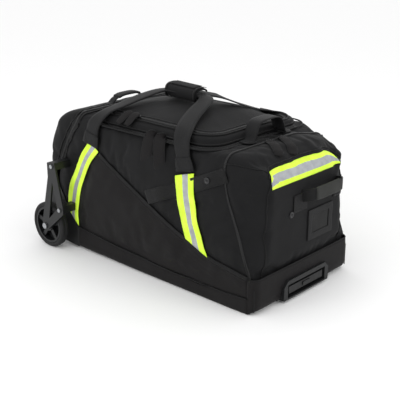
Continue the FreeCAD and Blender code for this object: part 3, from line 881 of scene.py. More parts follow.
def zip_tape(name, tree, points, offsets, lift, body):
    """A zip's ribbon along a line on a soft surface; offsets are its rows' distances from the line."""
    run = distances(points)
    verts, uvs = [], []
    for i, point in enumerate(points):
        _, normal = snap(tree, point)
        across = ahead(points, i).normalized().cross(normal).normalized()
        for offset in offsets:
            verts.append(snap(tree, point + across * offset, lift)[0])
            uvs.append((run[i], offset))
    piece = outward(build(name, verts, grid_faces(len(points), len(offsets)), [ZIP_TAPE], uvs))
    thicken(piece, 1.2)
    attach(piece, body)
    return piece


def zip_coil(name, points, normals, body, width=6.5):
    """The two interlocked rows of a zip: one small rounded bump after another along a line."""
    pitch, height = 4.0, 2.0
    verts, faces = [], []
    run = distances(points)
    at = 0.0
    flip = 1
    while at < run[-1]:
        i = min(max(1, int(np.searchsorted(run, at))), len(points) - 1)
        span = max(run[i] - run[i - 1], 1e-6)
        middle = points[i - 1].lerp(points[i], (at - run[i - 1]) / span)
        tangent = (points[i] - points[i - 1]).normalized()
        across = tangent.cross(normals[i]).normalized()
        middle = middle + across * flip * width * 0.17
        start = len(verts)
        for t, grow in ((-0.42, 0.55), (-0.2, 1.0), (0.2, 1.0), (0.42, 0.55)):
            for side, rise in ((-0.5, 0.0), (-0.3, 0.8), (0.3, 0.8), (0.5, 0.0)):
                verts.append(middle + tangent * t * pitch + across * side * width * 0.66
                             + normals[i] * rise * height * grow)
        faces += grid_faces(4, 4, start)
        at += pitch / 2
        flip = -flip
    piece = build(name, verts, faces, [COIL])
    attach(piece, body)


def beside(points, normals, offset):
    """A line that runs next to another one on the same surface."""
    return [p + ahead(points, i).normalized().cross(normals[i]).normalized() * offset
            for i, p in enumerate(points)]


def cord_on(name, tree, points, lift, radius, body):
    """Thin piping sewn along a line on a soft surface."""
    return tube(name, [snap(tree, p, lift)[0] for p in points], radius, [BINDING], body, 6)


# ---------------------------------------------------------------- side pockets, binding and reflective tape
POCKET_FOOT = [(-268, 66), (-154, 62), (5, 54), (77, 48), (169, 44), (260, 42), (328, 43), (392, 48)]


# The stripes of a reflective tape, as (share of the width where each ends, material): yellow, silver, yellow.
SIDE_STRIPES = [(0.345, 0), (0.655, 1), (1.0, 0)]
END_STRIPES = [(0.25, 0), (0.7, 1), (1.0, 0)]


def side_pocket(side, sign):
    """The flat pocket over the side's lower half, with the binding and the stitches of its slanting mouth."""
    pocket_top = [(-196, 352), *POCKET_EDGE[:-1], (388, 103)]
    left_edge = [(-278, 78), (-262, 150), (-240, 225), (-196, 352)]
    rows, columns = 34, 60
    top_curve = resample(spline([(x, 0, z) for x, z in pocket_top], 6), 1.0)
    foot_curve = resample(spline([(x, 0, z) for x, z in POCKET_FOOT], 6), 1.0)
    verts, uvs = [], []
    for r in range(rows + 1):
        for c in range(columns + 1):
            up = r / rows
            top_p = top_curve[round(c / columns * (len(top_curve) - 1))]
            foot_p = foot_curve[round(c / columns * (len(foot_curve) - 1))]
            x = foot_p.x + (top_p.x - foot_p.x) * up
            z = foot_p.z + (top_p.z - foot_p.z) * up
            if c == 0:
                x = along(left_edge, z)
            puff = 1.5 + 2.5 * max(0.0, crumple(x, sign * 40, z, 120, 5.5))
            verts.append(on_side(sign, puff)(x, z))
            uvs.append((x, z))
    faces = grid_faces(rows + 1, columns + 1)
    pocket = outward(build(f"side_pocket_panel_{side}", verts, faces, [POCKET], uvs))
    thicken(pocket, 2.0)
    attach(pocket, "bag")
    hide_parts(f"side_pocket_{side}")

    facing = Vector((0, sign, 0))
    edge = spline([(x, 0, z) for x, z in POCKET_EDGE[:-1] + [(392, 102)]], 8)
    line = [on_side(sign, 4.2)(p.x, p.z) for p in edge]
    bound = strip(f"pocket_binding_{side}", line, facing, 11, 1.4, [BINDING], "bag", crown=0.5)
    sewn = [on_side(sign, 4.4)(p.x - 4, p.z - 9) for p in edge]
    stitch_line(f"pocket_stitches_{side}", sewn, facing, "bag")


def side_band(side, sign):
    """The wide dark band sewn on a slant above the pocket, stitched along both edges."""
    facing = Vector((0, sign, 0))
    middle = spline([(42, 0, 241), (110, 0, 270), (200, 0, 308), (270, 0, 339), (316, 0, 360)], 8)
    line = [on_side(sign, 1.6)(p.x, p.z) for p in middle]
    dark = strip(f"side_band_{side}", line, facing, 40, 2.2, [BINDING], "bag", crown=0.6)
    for label, shift in (("low", -17), ("high", 17)):
        sewn = [on_side(sign, 4.2)(p.x - shift * 0.4, p.z + shift * 0.92) for p in middle if p.x > 226]
        stitch_line(f"side_band_stitches_{side}_{label}", sewn, facing, "bag")


def side_tapes(side, sign):
    """The two upright reflective tapes, each between its left and its right edge."""
    edges = {
        "left": ([(-306, 121), (-301, 165), (-288, 205), (-266, 247), (-234, 302), (-194, 355)],
                 [(-262, 76), (-254, 140), (-241, 195), (-222, 234), (-193, 284), (-155, 329)]),
        "right": ([(181, 156), (168, 200), (158, 240), (151, 285), (147, 325)],
                  [(259, 125), (241, 188), (225, 239), (217, 286), (214, 345)]),
    }
    for label, (start, stop) in edges.items():
        tape = band(f"{label}_reflective_{side}", start, stop, bridging(on_side(sign, 6.6), 1, sign),
                    [YELLOW, SILVER], "bag", SIDE_STRIPES, 40)
        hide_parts(f"side_tapes_{side}")


for side, sign in SIDES:
    side_pocket(side, sign)
    side_band(side, sign)
    side_tapes(side, sign)
    press_stud(f"press_stud_{side}", "bag", on_side(sign, 4.4)(262, 337), Matrix.Diagonal((1, sign, 1, 1)))


# ---------------------------------------------------------------- arch zips between the bag and its end caps
def arch_zip(name, tree, line, cap_body):
    """Zip tape on both sides of an arch seam, its coil, and a raised piping at either edge."""
    path = rounded(resample(line, 7), 10)
    path = [snap(tree, p)[0] for p in path]
    normals = [n.normalized() for n in rounded([snap(tree, p)[1] for p in path], 4)]
    zip_tape(f"{name}_tape_bag", SIDE_TREE, path, (1, 5, 9, 13), 1.4, "bag")
    zip_tape(f"{name}_tape_cap", tree, path, (-1, -5, -9, -13), 1.4, cap_body)
    zip_coil(f"{name}_coil", [p + n * 1.8 for p, n in zip(path, normals)], normals, "bag")
    for label, surface, body, offset in (("bag", SIDE_TREE, "bag", 14.0), ("cap", tree, cap_body, -14.0)):
        piping = cord_on(f"{name}_piping_{label}", surface, beside(path, normals, offset), 1.2, 2.3, body)


right_line = [Vector(p) for p in right_seam_line[1:-1]]
left_line = [Vector(p) for p in left_seam_line[1:-1]]
arch_zip("right_arch_zip", RIGHT_TREE, right_line, "cap_right")
arch_zip("left_arch_zip", LEFT_TREE, left_line, "cap_left")

# ---------------------------------------------------------------- right end: seams, tape, window and handle
for side, sign in SIDES:
    corner = spline_2d([(172, 90), (168, 140), (165, 220), (162, 290), (152, 358)], 7)
    corner_line = [on_end(0.6)(sign * y, z) for y, z in corner]
    piping = tube(f"end_corner_piping_{side}", corner_line, 1.7, [BINDING], "cap_right", 6)
    cheek_line = [(312, sign * 205, 386), (335, sign * 200, 388), (360, sign * 190, 386),
                  (382, sign * 172, 376), (394, sign * 152, 362)]
    cheek_line = [(x, y, z - far_fall(x, y, z)) for x, y, z in cheek_line]
    cord_on(f"end_cheek_piping_{side}", RIGHT_TREE, spline(cheek_line, 7), 0.6, 1.4, "cap_right")

brow = [(-159, 356), (-149, 370), (-130, 378), (-60, 380), (0, 381), (60, 380), (101, 380), (137, 366),
        (165, 342)]
tube("end_brow_piping", [on_end(0.8)(y, z) for y, z in spline_2d(brow, 7)], 1.7, [BINDING], "cap_right", 6)
tape = band("end_reflective",
            [(-153, 352), (-144, 364), (-128, 371), (-60, 373), (0, 374), (60, 373), (101, 371), (134, 358),
             (161, 336)],
            [(-150, 328), (-143, 329), (-127, 329), (-60, 329), (0, 329), (60, 329), (101, 329), (136, 329),
             (163, 329)],
            bridging(on_end(2.2), 0, 1, 26), [YELLOW, SILVER], "cap_right", END_STRIPES,
            60, 10)
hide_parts("end_tape")


def on_end_ring(name, y_range, z_range, border, lift, thickness, mats):
    """A flat rectangular frame on the right end; border 0 makes it a plain patch."""
    (y0, y1), (z0, z1) = y_range, z_range
    place = on_end(lift)
    if not border:
        pts = [(y0 + (y1 - y0) * c / 8, z0 + (z1 - z0) * r / 8) for r in range(9) for c in range(9)]
        faces = grid_faces(9, 9)
    else:
        loop = between([(y0, z0), (y1, z0), (y1, z1), (y0, z1), (y0, z0)], 8)
        cy, cz = (y0 + y1) / 2, (z0 + z1) / 2
        inner = 1 - 2 * border / (y1 - y0), 1 - 2 * border / (z1 - z0)
        pts = []
        for share in (0, 0.33, 0.67, 1):
            grow_y, grow_z = 1 + (inner[0] - 1) * share, 1 + (inner[1] - 1) * share
            pts += [(cy + (y - cy) * grow_y, cz + (z - cz) * grow_z) for y, z in loop]
        faces = ring_faces(4, len(loop))
    piece = outward(build(name, [place(y, z) for y, z in pts], faces, mats, pts))
    thicken(piece, thickness)
    soften(piece, 0.8)
    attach(piece, "cap_right")
    return piece


window = on_end_ring("id_pocket_border", (5, 117), (146, 232), 19, 3.4, 2.4, [STRAP])
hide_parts("id_window_frame")
film = on_end_ring("id_pocket_window", (21, 101), (162, 216), 0, 2.0, 0.8, [FILM])
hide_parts("id_window_film")

press_stud("press_stud_end", "cap_right", on_end(0.4)(-69, 241), Matrix.Rotation(math.radians(-90), 4, "Z"))


def end_handle():
    """A webbing loop between two sewn feet."""
    for label, (y0, y1) in (("near", (-62, -4)), ("far", (118, 176))):
        foot = on_end_ring(f"end_handle_patch_{label}", (y0, y1), (242, 290), 0, 3.0, 2.6, [BINDING])
        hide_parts("end_grab_handle")
        corners = [(y0 + 5, 247), (y1 - 5, 247), (y1 - 5, 285), (y0 + 5, 285), (y1 - 5, 247), (y0 + 5, 247),
                   (y1 - 5, 285)]
        line = [on_end(3.2)(y, z) for y, z in between(corners, 6)]
        stitch_line(f"end_handle_stitches_{label}", line, Vector((1, 0, 0)), "cap_right", pitch=5)
    route = spline([(404, -50, 268), (404, -34, 273), (411, -27, 280), (428, -20, 285), (439, -10, 287),
                    (443.5, 6, 287), (444, 57, 287), (443.5, 104, 287), (440, 119, 287), (430, 128, 285),
                    (411, 134, 279), (404, 142, 274), (404, 164, 270)], 5)
    runs = [ahead(route, i) for i in range(len(route))]
    normals = [Vector((run.y, -run.x, 0)).normalized() for run in runs]
    loop = strip("end_handle_strap", route, normals, 34, 2.6, [BINDING], "cap_right", crown=0.4)
    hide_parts("end_grab_handle")


def end_handle_sleeve():
    """The rubber sleeve round the end handle, ribbed along its middle and slimmer at both ends."""
    rings, sides = 44, 20
    start, length = -4, 108
    middle_x, middle_z = 443.5, 287.5
    verts, uvs = [], []
    for k in range(rings + 1):
        y = start + length * k / rings
        rib = 1.0 if k % 2 else 0.0
        rib = rib if 12 < k < 32 else 0.6
        end = min(k, rings - k)
        slim = 1 - 0.16 * max(0, 2 - end) / 2
        bow = middle_x + 1.0 * math.sin(math.pi * k / rings)
        rx = (6.4 + rib * 0.7) * slim
        rz = (17.2 + rib * 0.7) * slim
        for a in range(sides):
            angle = 2 * math.pi * a / sides
            c, s = math.cos(angle), math.sin(angle)
            verts.append((bow + math.copysign(abs(c) ** 0.6, c) * rx, y,
                          middle_z + math.copysign(abs(s) ** 0.6, s) * rz))
            uvs.append((y, angle * 12))
    faces = ring_faces(rings + 1, sides) + end_faces(rings + 1, sides)
    sleeve = recalc(build("end_handle_sleeve", verts, faces, [RUBBER], uvs))
    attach(sleeve, "cap_right")
    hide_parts("end_handle_grip")


end_handle()
end_handle_sleeve()


# ---------------------------------------------------------------- lid
# The lid's surface from the rim inward, as (inset from the outline, height).
LID_PROFILE = [(-2, 408), (-2.5, 411), (-1, 415), (1, 420), (3, 424.5), (6, 428.5), (11, 432), (18, 435),
               (26, 437.5), (36, 440.5), (50, 444), (68, 448), (90, 452), (115, 455.5), (145, 458.5), (170, 460)]


def lid_outline(inset, count=200):
    """The lid's rounded plan, drawn in by inset, as evenly counted (x, y) points."""
    half_x, half_y = LID_HALF_X - inset, LID_HALF_Y - inset
    radius = min(max(LID_CORNER - inset * 0.35, 8), half_y - 0.5)
    pts = []
    for k in range(count):
        angle = 2 * math.pi * (k + 0.5) / count
        base_x, base_y = math.cos(angle), math.sin(angle)
        grow = 1 / max(abs(base_x) / half_x, abs(base_y) / half_y)
        x, y = base_x * grow, base_y * grow
        ax, ay = round_corner(abs(x), abs(y), half_x, half_y, radius, radius)
        pts.append((LID_X + math.copysign(ax, x), math.copysign(ay, y)))
    return pts


def lid_rings(profile):
    """Rings of the lid's surface from the rim to near its middle, and the face that closes it."""
    count = 200
    verts, uvs = [], []
    for inset, z in profile:
        inner = min(1, max(0, inset) / 60)
        for x, y in lid_outline(inset, count):
            bulge = 2.0 * crumple(x, y, z, 100, 11.3) * min(1, max(0, inset) / 30)
            sag = 3.0 * math.sin(math.pi * part_way(x, LID_LOW.x, LID_HIGH.x)) - 3.0
            drop = 12 * max(0, (x - 90) / 150) ** 2 * inner
            drop += 20 * part_way(y, 10, 150) ** 2 * min(1, inner * 2.2)
            verts.append((x, y, z + bulge + sag * inner - drop))
            uvs.append((x, y + (z - 408) * math.copysign(1, y)))
    faces = ring_faces(len(profile), count)
    faces.append(tuple((len(profile) - 1) * count + k for k in range(count)))
    return verts, faces, uvs


verts, faces, uvs = lid_rings(LID_PROFILE)
lid = outward(build("lid_cover", verts, faces, [BODY_CLOTH], uvs))
LID_TREE = surface_of(lid)
thicken(lid, 3.0)
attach(lid, "lid")
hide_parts("lid_shell")

verts, faces, uvs = lid_rings([(22, 436), (24, 439), *((i, z + 2.4) for i, z in LID_PROFILE if i > 25)])
top_panel = outward(build("lid_pocket_panel", verts, faces, [BODY_CLOTH], uvs))
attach(top_panel, "lid")
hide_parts("lid_pocket")


def lid_loop(inset, z, start, stop, step=6):
    """Points round the lid at one inset, between two angles in degrees."""
    ring = lid_outline(inset, 720)
    picked = [Vector((x, y, z)) for k, (x, y) in enumerate(ring) if start <= (k + 0.5) / 2 <= stop]
    return resample(picked, step)


# Zip of the lid's pocket: along the near side and round the right end.
near_run = lid_loop(25, 437, 214, 359.9)
end_run = lid_loop(25, 437, 0, 62)
zip_path = [snap(LID_TREE, p)[0] for p in resample([*near_run, *end_run], 6)]
zip_normals = [snap(LID_TREE, p)[1] for p in zip_path]
chain = zip_tape("lid_pocket_zip_tape", LID_TREE, zip_path, (-8, -4, 0, 4, 8), 1.6, "lid")
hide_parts("pocket_zip")
zip_line = [p + n * 2.0 for p, n in zip(zip_path, zip_normals)]
zip_coil("lid_pocket_zip_coil", zip_line, zip_normals, "lid", width=6)
for label, offset in (("upper", -10.5), ("lower", 10.5)):
    welt_line = beside(zip_path, zip_normals, offset)
    cord_on(f"lid_pocket_zip_welt_{label}", LID_TREE, welt_line, 1.8, 2.2, "lid")


def open_ring(inset, z, step):
    """The lid's outline on three sides, from one end of the hinge round to the other."""
    ring = [Vector((x, y, z)) for x, y in lid_outline(inset, 400)]
    # The ring is turned to start where it first passes the hinge's edge.
    start = next(i for i in range(len(ring)) if ring[i].y >= HINGE_EDGE > ring[i - 1].y)
    return resample([p for p in ring[start:] + ring[:start] if p.y < HINGE_EDGE], step)


rim_path = open_ring(-2, 412, 6)
welt = tube("lid_rim_piping", [p + Vector((0, 0, 2.0)) for p in rim_path], 2.6, [BINDING], "lid", 8)

# Main zip round the lid's opening.
main_tape = strip("main_zip_tape", open_ring(-9, DECK + 0.6, 6), Vector((0, 0, 1)), 20, 1.4, [ZIP_TAPE], "bag",
                  crown=0.3)
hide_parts("main_zip")
coil_path = open_ring(-6.5, DECK + 2.8, 5)
zip_coil("main_zip_coil", coil_path, [Vector((0, 0, 1))] * len(coil_path), "bag", width=6.5)
outer_ring = [Vector((x, y, DECK + 1.0)) for x, y in lid_outline(-20, 400)]
outer_ring.append(outer_ring[0].copy())
edge_cord = tube("main_zip_edge_piping", resample(outer_ring, 7), 2.2, [BINDING], "bag", 6)


# ---------------------------------------------------------------- carry handles, wrap and top handles
def carry_strap(side, sign):
    """One long webbing from foot to foot, narrowed where it is gathered in the wrap."""
    if sign < 0:
        half = [(181, 219, 344), (180, 219.5, 355), (177, 219.5, 375), (174, 218.5, 398), (165, 213.5, 417),
                (150, 187, 440), (130, 148, 455), (112, 96, 471), (94, 44, 483), (78, 22, 487), (55, 14, 487)]
    else:
        half = [(181, 219, 344), (180, 219.5, 355), (178, 219.5, 375), (174, 216, 396), (167, 203, 411),
                (153, 178, 422), (135, 145, 433), (115, 104, 448), (98, 60, 467), (80, 24, 485), (55, 14, 487)]
    right = [Vector((x, sign * y, z)) for x, y, z in half]
    left = [Vector((-x, sign * y, z)) for x, y, z in half]
    path = rounded(resample(spline([*left, *reversed(right)], 6), 9), 3)
    normals, widths = [], []
    for p in path:
        reach = part_way(p.z, 398, 443)
        normals.append(Vector((0, sign * (1 - reach), reach + 0.05)).normalized())
        widths.append(50 - 12 * smooth((120 - abs(p.x)) / 55))
    normals = [n.normalized() for n in rounded(normals, 6)]
    strap_piece = strip(f"carry_webbing_{side}", path, normals, widths, 3.0, [STRAP], None, crown=0.7)
    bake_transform(strap_piece)
    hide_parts(f"carry_handle_{side}")
    for end in (-1, 1):
        label = f"{side}_{'left' if end < 0 else 'right'}"
        middle = ((185, 345), (183, 354), (181, 363), (178, 372), (176, 380))
        patch_line = [Vector((end * x, sign * 221.5, z)) for x, z in middle]
        patch = strip(f"carry_foot_{label}", patch_line, Vector((0, sign, 0)), [66, 64, 62, 59, 56], 2.6,
                      [STRAP], None, crown=0.5)
        corners = [(163, 349), (208, 349), (200, 376), (156, 376), (163, 349), (200, 376), (208, 349),
                   (156, 376)]
        line = [Vector((end * x, sign * 224.7, z)) for x, z in between(corners, 8)]
        sewn = stitch_line(f"carry_foot_stitches_{label}", line, Vector((0, sign, 0)), None, pitch=5)
        for piece in (patch, sewn):
            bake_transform(piece)


def wrap():
    """A padded sleeve folded round both grips and closed by a flap, still open along its far edge."""
    loop = []
    for k in range(34):
        angle = math.radians(24 + (336 - 24) * k / 33)
        c, s = math.cos(angle), math.sin(angle)
        loop.append((math.copysign(abs(c) ** 0.75, c) * 29.5, WRAP_Z + math.copysign(abs(s) ** 0.75, s) * 20.5))
    columns, verts, uvs = 26, [], []
    for c in range(columns + 1):
        x = -78 + 130 * c / columns
        turn = -5 - 0.1 * x
        end = min(c, columns - c) / columns
        slim = 1 - 0.12 * max(0, 0.12 - end) / 0.12
        for k, (y, z) in enumerate(loop):
            puff = 1 + 0.03 * crumple(x, y, z, 45, 2.2)
            verts.append((x, turn + y * slim * puff, WRAP_Z + (z - WRAP_Z) * slim * puff))
            uvs.append((x, k * 4.6))
    piece = recalc(build("handle_wrap_padding", verts, grid_faces(columns + 1, len(loop)), [DARK_CLOTH], uvs))
    thicken(piece, 4.0)
    soften(piece, 1.2)
    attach(piece, "carry_near")
    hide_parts("handle_wrap")
    for label, x in (("left", -72), ("right", 46)):
        turn = -5 - 0.1 * x
        ring = [Vector((x, turn + y * 1.01, WRAP_Z + (z - WRAP_Z) * 1.05)) for y, z in loop[3:-3]]
        facing = [Vector((0, p.y - turn, (p.z - WRAP_Z) * 1.6)).normalized() for p in ring]
        binding = strip(f"wrap_binding_{label}", ring, facing, 8, 1.0, [BINDING], "carry_near", crown=0.4)
    flap_line = [Vector((x, -8.0 - 0.1 * x, 509.0)) for x in range(-64, 41, 8)]
    flap = strip("wrap_flap", flap_line, Vector((0, -0.1, 1)), 30, 1.6, [DARK_CLOTH], "carry_near", crown=0.8)


def top_handle(name, x, width, base, rise, body, node_name, sleeve):
    """A webbing arch sewn down at both ends."""
    half = [(86, 1), (66, 1.5), (57, rise * 0.45), (46, rise - 8), (28, rise - 2)]
    route = [*((x, -y, base + z) for y, z in half), (x, 0, base + rise - 1),
             *((x, y, base + z) for y, z in reversed(half))]
    path = rounded(resample(spline(route, 4), 5), 2)
    normals = []
    for i in range(len(path)):
        run = ahead(path, i).normalized()
        normals.append(Vector((0, -run.z, run.y)).normalized())
    arch = strip(f"{name}_webbing", path, normals, width, 2.6, [STRAP], body, crown=0.4)
    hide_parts(node_name)
    if sleeve:
        grip_path = [p for p in path if abs(p.y) < 46]
        ribs = [width + (5 if k % 2 else 3) for k in range(len(grip_path))]
        grip = strip(f"{name}_sleeve", [p - Vector((0, 0, 2.0)) for p in grip_path],
                     [Vector((0, 0, 1))] * len(grip_path), ribs, 6.5, [DARK_RUBBER], body, crown=1.4)
    for end in (-1, 1):
        foot = strip(f"{name}_foot_{'near' if end < 0 else 'far'}",
                     [Vector((x, end * y, base + 0.6)) for y in (62, 70, 80, 89, 95)], Vector((0, 0, 1)),
                     [width + 4, width + 8, width + 7, width, width - 16], 2.4, [STRAP], body, crown=0.4)


for side, sign in SIDES:
    carry_strap(side, sign)
wrap()
top_handle("right_top_handle", 268, 42, 408, 52, "bag", "top_grab_right", False)
top_handle("left_top_handle", -266, 24, 424, 23, "cap_left", "top_grab_left", True)


# ---------------------------------------------------------------- sliders and pullers
def slider(name, body, node_name, place, normal, along_it):
    """A small die-cast slider: its body and the bridge on top of it."""
    across = along_it.cross(normal).normalized()
    parts = []
    for label, (length, width, height, lift) in {"body": (13, 9, 3.4, 0), "bridge": (8, 3, 2.4, 3.2)}.items():
        verts = []
        for dx in (-0.5, -0.36, 0.36, 0.5):
            for dy in (-0.5, 0.5):
                for dz in (0, 1):
                    pinch = 0.72 if abs(dx) == 0.5 else 1.0
                    verts.append(place + along_it * dx * length + across * dy * width * pinch
                                 + normal * (lift + dz * height * (pinch if dz else 1)))
        faces = []
        for r in range(3):
            a = r * 4
            faces += [(a, a + 4, a + 5, a + 1), (a + 2, a + 3, a + 7, a + 6), (a, a + 2, a + 6, a + 4),
                      (a + 1, a + 5, a + 7, a + 3)]
        faces += [(0, 1, 3, 2), (12, 14, 15, 13)]
        parts.append(recalc(build(f"{name}_{label}", verts, faces, [SLIDER])))
    whole = join(name, parts, body)
    soften(whole, 0.7)
    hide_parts(node_name)


def puller(name, body, node_name, route, width, normal, lean=0.0):
    """A folded fabric tab with bound edges and a rounded end."""
    path = resample(spline(route, 4), 4)
    total = len(path) - 1
    path = [p + Vector((lean * (i / total), 0, 0)) for i, p in enumerate(path)]
    widths = []
    for i in range(total + 1):
        near_end = min(1, (total - i) / 3)
        near_top = min(1, 0.45 + i / 4)
        widths.append(width * near_top * (0.7 + 0.3 * near_end))
    made = strip(name, path, normal, widths, 2.4, [POCKET], body, crown=0.6)
    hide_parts(node_name)
    for label, edge in (("left", -1), ("right", 1)):
        rail = []
        for i, p in enumerate(path):
            across = ahead(path, i).normalized().cross(normal).normalized()
            rail.append(p + across * edge * widths[i] * 0.47 + normal * 1.2)
        tube(f"{name}_edge_{label}", rail, 1.7, [BINDING], body, 6)


for name, x, lean in (("main_zip_left", 61, -24), ("main_zip_right", 93, 0)):
    slider(f"{name}_runner", name, f"{name}_slider", Vector((x, -204.5, 409.5)), Vector((0, 0, 1)),
           Vector((1, 0, 0)))
    puller(f"{name}_tab", name, f"{name}_puller",
           [(x, -203, 414), (x, -211, 415), (x, -218, 410), (x, -221.5, 398), (x, -222.5, 370), (x, -222, 345),
            (x, -221, 323)],
           36, Vector((0.2, -1, 0.12)).normalized(), lean)
for name, x, lean in (("pocket_zip_left", -66, -20), ("pocket_zip_right", -40, -12)):
    slider(f"{name}_runner", name, f"{name}_slider", Vector((x, -165.5, 441)),
           Vector((0, -0.4, 1)).normalized(), Vector((1, 0, 0)))
    puller(f"{name}_tab", name, f"{name}_puller",
           [(x, -166, 448), (x, -176, 447), (x, -186, 440), (x, -194, 431), (x, -200, 425), (x, -204, 421)],
           24, Vector((0, -0.75, 0.66)), lean)

# Two zip pullers of the right end compartment, lying on its roof.
for label, start, stop in (("a", (309, -36, 410), (386, -80, 405)), ("b", (309, 16, 410), (396, -25, 400))):
    a, b = Vector(start), Vector(stop)
    route = [snap(RIGHT_BOTH, a.lerp(b, t), 2.2)[0] for t in (0, 0.2, 0.4, 0.6, 0.8, 1.0)]
    puller(f"right_arch_puller_{label}", "cap_right", "end_cap_right", route, 27,
           Vector((0.12, 0, 1)).normalized())
    slider(f"right_arch_runner_{label}", "cap_right", "end_cap_right", snap(RIGHT_BOTH, a, 1.0)[0],
           Vector((0, 0, 1)), Vector((0, 1, 0)))


# ---------------------------------------------------------------- base bands
def base_band(name, path, tops, feet, bulge, folds=False):
    """The tough band round the foot of the bag; folds leaves out an opening low in its middle and leaves the
    band unattached to the bag.
    """
    levels = 12
    verts, uvs, run = [], [], 0.0
    for i, (x, y) in enumerate(path):
        ahead, behind = path[min(i + 1, len(path) - 1)], path[max(i - 1, 0)]
        tangent = Vector((ahead[0] - behind[0], ahead[1] - behind[1], 0)).normalized()
        out = Vector((tangent.y, -tangent.x, 0))
        if out.dot(Vector((x, y, 0))) < 0:
            out = -out
        if i:
            run += math.hypot(x - path[i - 1][0], y - path[i - 1][1])
        top, foot = tops[i], feet[i]
        for k in range(levels + 1):
            t = k / levels
            z = top + (foot - top) * t
            swell = bulge * math.sin(math.pi * min(1, 0.15 + t * 0.75)) + 0.8 * crumple(x, y, z, 60, 6.1)
            swell = swell * min(1, i / 4, (len(path) - 1 - i) / 4) - 3 * max(0, (t - 0.84) / 0.16) ** 2
            p = Vector((x, y, z)) + out * swell
            verts.append(p)
            uvs.append((run, top - z))
    faces = []
    for face in grid_faces(len(path), levels + 1):
        middle = sum((Vector(verts[i]) for i in face), Vector()) / 4
        if not (folds and abs(middle.y) < 92 and middle.z < 54):
            faces.append(face)
    piece = outward(build(name, verts, faces, [POCKET], uvs))
    thicken(piece, 3.0)
    if folds:
        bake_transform(piece)
    else:
        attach(piece, "bag")
    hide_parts("base_tray")
    return piece


for side, sign in SIDES:
    xs = np.linspace(-272, 391, 70)
    tops = np.interp(xs, [-272, -226, -74, 75, 224, 402], [72, 67, 55, 46, 37, 46])
    base_band(f"side_base_band_{side}", [(float(x), sign * 213.0) for x in xs], [float(t) for t in tops],
              [float(f) for f in np.interp(xs, [-272, 0, 402], [8, 3, 0.6])], 3.0)
    seam = [Vector((float(x), sign * 215.0, float(t))) for x, t in zip(xs, tops)]
    cord_on(f"side_base_seam_{side}", SIDE_TREE, seam, 4.5, 1.8, "bag")
corner = [(389 + 24 * math.sin(a), 188.5 + 24 * math.cos(a)) for a in np.linspace(0, math.pi / 2, 10)]
end_path = [*((x, -y) for x, y in corner), *((413.0, float(y)) for y in np.linspace(-184, 184, 50)),
            *((x, y) for x, y in reversed(corner))]
end_band = base_band("end_base_band", end_path, [98.0] * len(end_path),
                     [0.8 + 12.5 * smooth((x - 388) / 26) for x, y in end_path], 3.0, True)
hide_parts("end_sill")
tube("end_base_seam", [Vector((x, y, 98.5)) for x, y in end_path], 2.0, [BINDING], "cap_right", 6)
for side, sign in SIDES:
    corner_line = [Vector((408.2, sign * 206.8, z)) for z in range(12, 81, 7)]
    tube(f"end_base_corner_{side}", corner_line, 1.7, [BINDING], "bag", 6)



# ---------------------------------------------------------------- hard parts
def right_divider():
    """The board before the right end compartment, trimmed to the roof's fall at its far corner."""
    outline = [(-202, 57), (202, 57), (202, 338), (190, 358), (165, 374), (110, 388), (60, 396), (-166, 398),
               (-190, 390), (-202, 370)]
    verts = [(x, y, z) for x in (low("divider_right").x, high("divider_right").x) for y, z in outline]
    count = len(outline)
    faces = [tuple(range(count)), tuple(range(2 * count - 1, count - 1, -1)), *ring_faces(2, count)]
    board = recalc(build("right_divider_board", verts, faces, [BOARD], [(y, z) for x, y, z in verts]))
    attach(board, "bag")
    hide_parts("divider_right")


right_divider()

# The finish of each hard part that is shown as it stands, and the width of its softened edges.
FINISHES = {
    "wheel_housing": (HOUSING, 3), "handle_housing": (HOUSING, 2.5), "skid_rails": (BASE, 2),
    "base_board": (BOARD, 1), "divider_left": (BOARD, 1), "bracket_near": (BRACKET, 1.6),
    "bracket_far": (BRACKET, 1.6),
    "bracket_posts_near": (BRACKET, 1), "bracket_posts_far": (BRACKET, 1), "wheel_axle_near": (STEEL, 0.5),
    "wheel_axle_far": (STEEL, 0.5), "bracket_bolts": (STEEL, 0.6), "outer_tubes": (ALUMINIUM, 0.8),
    "middle_tubes": (ALUMINIUM, 0.8), "inner_tubes": (ALUMINIUM, 0.8), "tube_anchor": (BRACKET, 1),
    "trolley_grip": (BASE, 2.5), "release_button": (HOUSING, 0.8), "rim_near": (BRACKET, 0.9),
    "rim_far": (BRACKET, 0.9), "bush_near": (BUSH, 0.4), "bush_far": (BUSH, 0.4),
}
for name, (made, width) in FINISHES.items():
    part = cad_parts[name]
    part.data.materials.clear()
    part.data.materials.append(made)
    soften(part, width)

for side, sign in SIDES:
    low_corner, high_corner = low(f"tyre_{side}"), high(f"tyre_{side}")
    centre = (low_corner + high_corner) / 2
    radius = (high_corner.z - low_corner.z) / 2
    half = (high_corner.y - low_corner.y) / 2
    profile = [(56.4, -half + 3), (60, -half + 0.6), (64, -half), (67.5, -half + 1.8), (69.4, -half + 4.6),
               (radius, -half + 8), (radius, -3), (radius - 1.4, -2), (radius - 1.4, 2), (radius, 3),
               (radius, half - 8),
               (69.4, half - 4.6), (67.5, half - 1.8), (64, half), (60, half - 0.6), (56.4, half - 3)]
    tread = [(r, centre.y + y) for r, y in profile]
    tyre = turned(f"tyre_tread_{side}", tread, centre, [TYRE], f"wheel_{side}", 96)
    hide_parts(f"tyre_{side}")


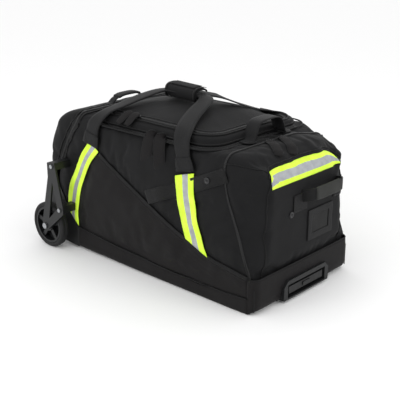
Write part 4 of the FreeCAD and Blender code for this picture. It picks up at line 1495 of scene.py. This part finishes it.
# ---------------------------------------------------------------- camera, floor and light
def camera():
    """The eye stands to the right of the near corner, a little above the bag."""
    turn, rise = math.radians(42.3), math.radians(19.6)
    back = Vector((math.sin(turn) * math.cos(rise), -math.cos(turn) * math.cos(rise), math.sin(rise)))
    right = Vector((math.cos(turn), math.sin(turn), 0))
    up = back.cross(right)
    data = bpy.data.cameras.new("camera")
    data.lens = 76.5
    data.sensor_width = 36
    data.clip_start = 0.05
    eye = bpy.data.objects.new("camera", data)
    axes = Matrix((right, up, back)).transposed().to_4x4()
    eye.matrix_world = Matrix.Translation(Vector((1613.6, -1735.0, 1007.65)) * MM) @ axes
    bpy.context.scene.collection.objects.link(eye)
    bpy.context.scene.camera = eye


def floor():
    """A wide pale floor."""
    mesh = bpy.data.meshes.new("floor")
    half = 30.0
    corners = [(-half, -half, 0), (half, -half, 0), (half, half, 0), (-half, half, 0)]
    mesh.from_pydata(corners, [], [(0, 1, 2, 3)])
    made, _, _ = material("pale_floor", Base_Color=(0.92, 0.92, 0.92, 1), Roughness=0.9, Specular_IOR_Level=0.1)
    mesh.materials.append(made)
    plane = bpy.data.objects.new("floor", mesh)
    bpy.context.scene.collection.objects.link(plane)


def area_light(name, place, target, size, power):
    """A soft rectangular lamp at place, turned to target."""
    data = bpy.data.lights.new(name, "AREA")
    data.shape = "RECTANGLE"
    data.size, data.size_y = size
    data.energy = power
    lamp = bpy.data.objects.new(name, data)
    lamp.location = place
    lamp.rotation_euler = (Vector(place) - Vector(target)).to_track_quat("Z", "Y").to_euler()
    bpy.context.scene.collection.objects.link(lamp)


def studio():
    """A white room and three large soft lamps."""
    world = bpy.data.worlds.new("studio")
    bpy.context.scene.world = world
    world.use_nodes = True
    backdrop = world.node_tree.nodes["Background"]
    backdrop.inputs["Color"].default_value = (1, 1, 1, 1)
    backdrop.inputs["Strength"].default_value = 1.05
    area_light("key", (-0.5, -2.9, 1.4), (0, 0, 0.2), (1.8, 1.4), 23)
    area_light("top", (0.1, 0.3, 2.6), (0, 0, 0.3), (2.2, 1.4), 3)
    area_light("end", (2.4, 0.2, 1.3), (0.4, 0, 0.2), (1.2, 1.2), 10)


camera()
floor()
studio()
bpy.context.scene.view_settings.view_transform = "Standard"
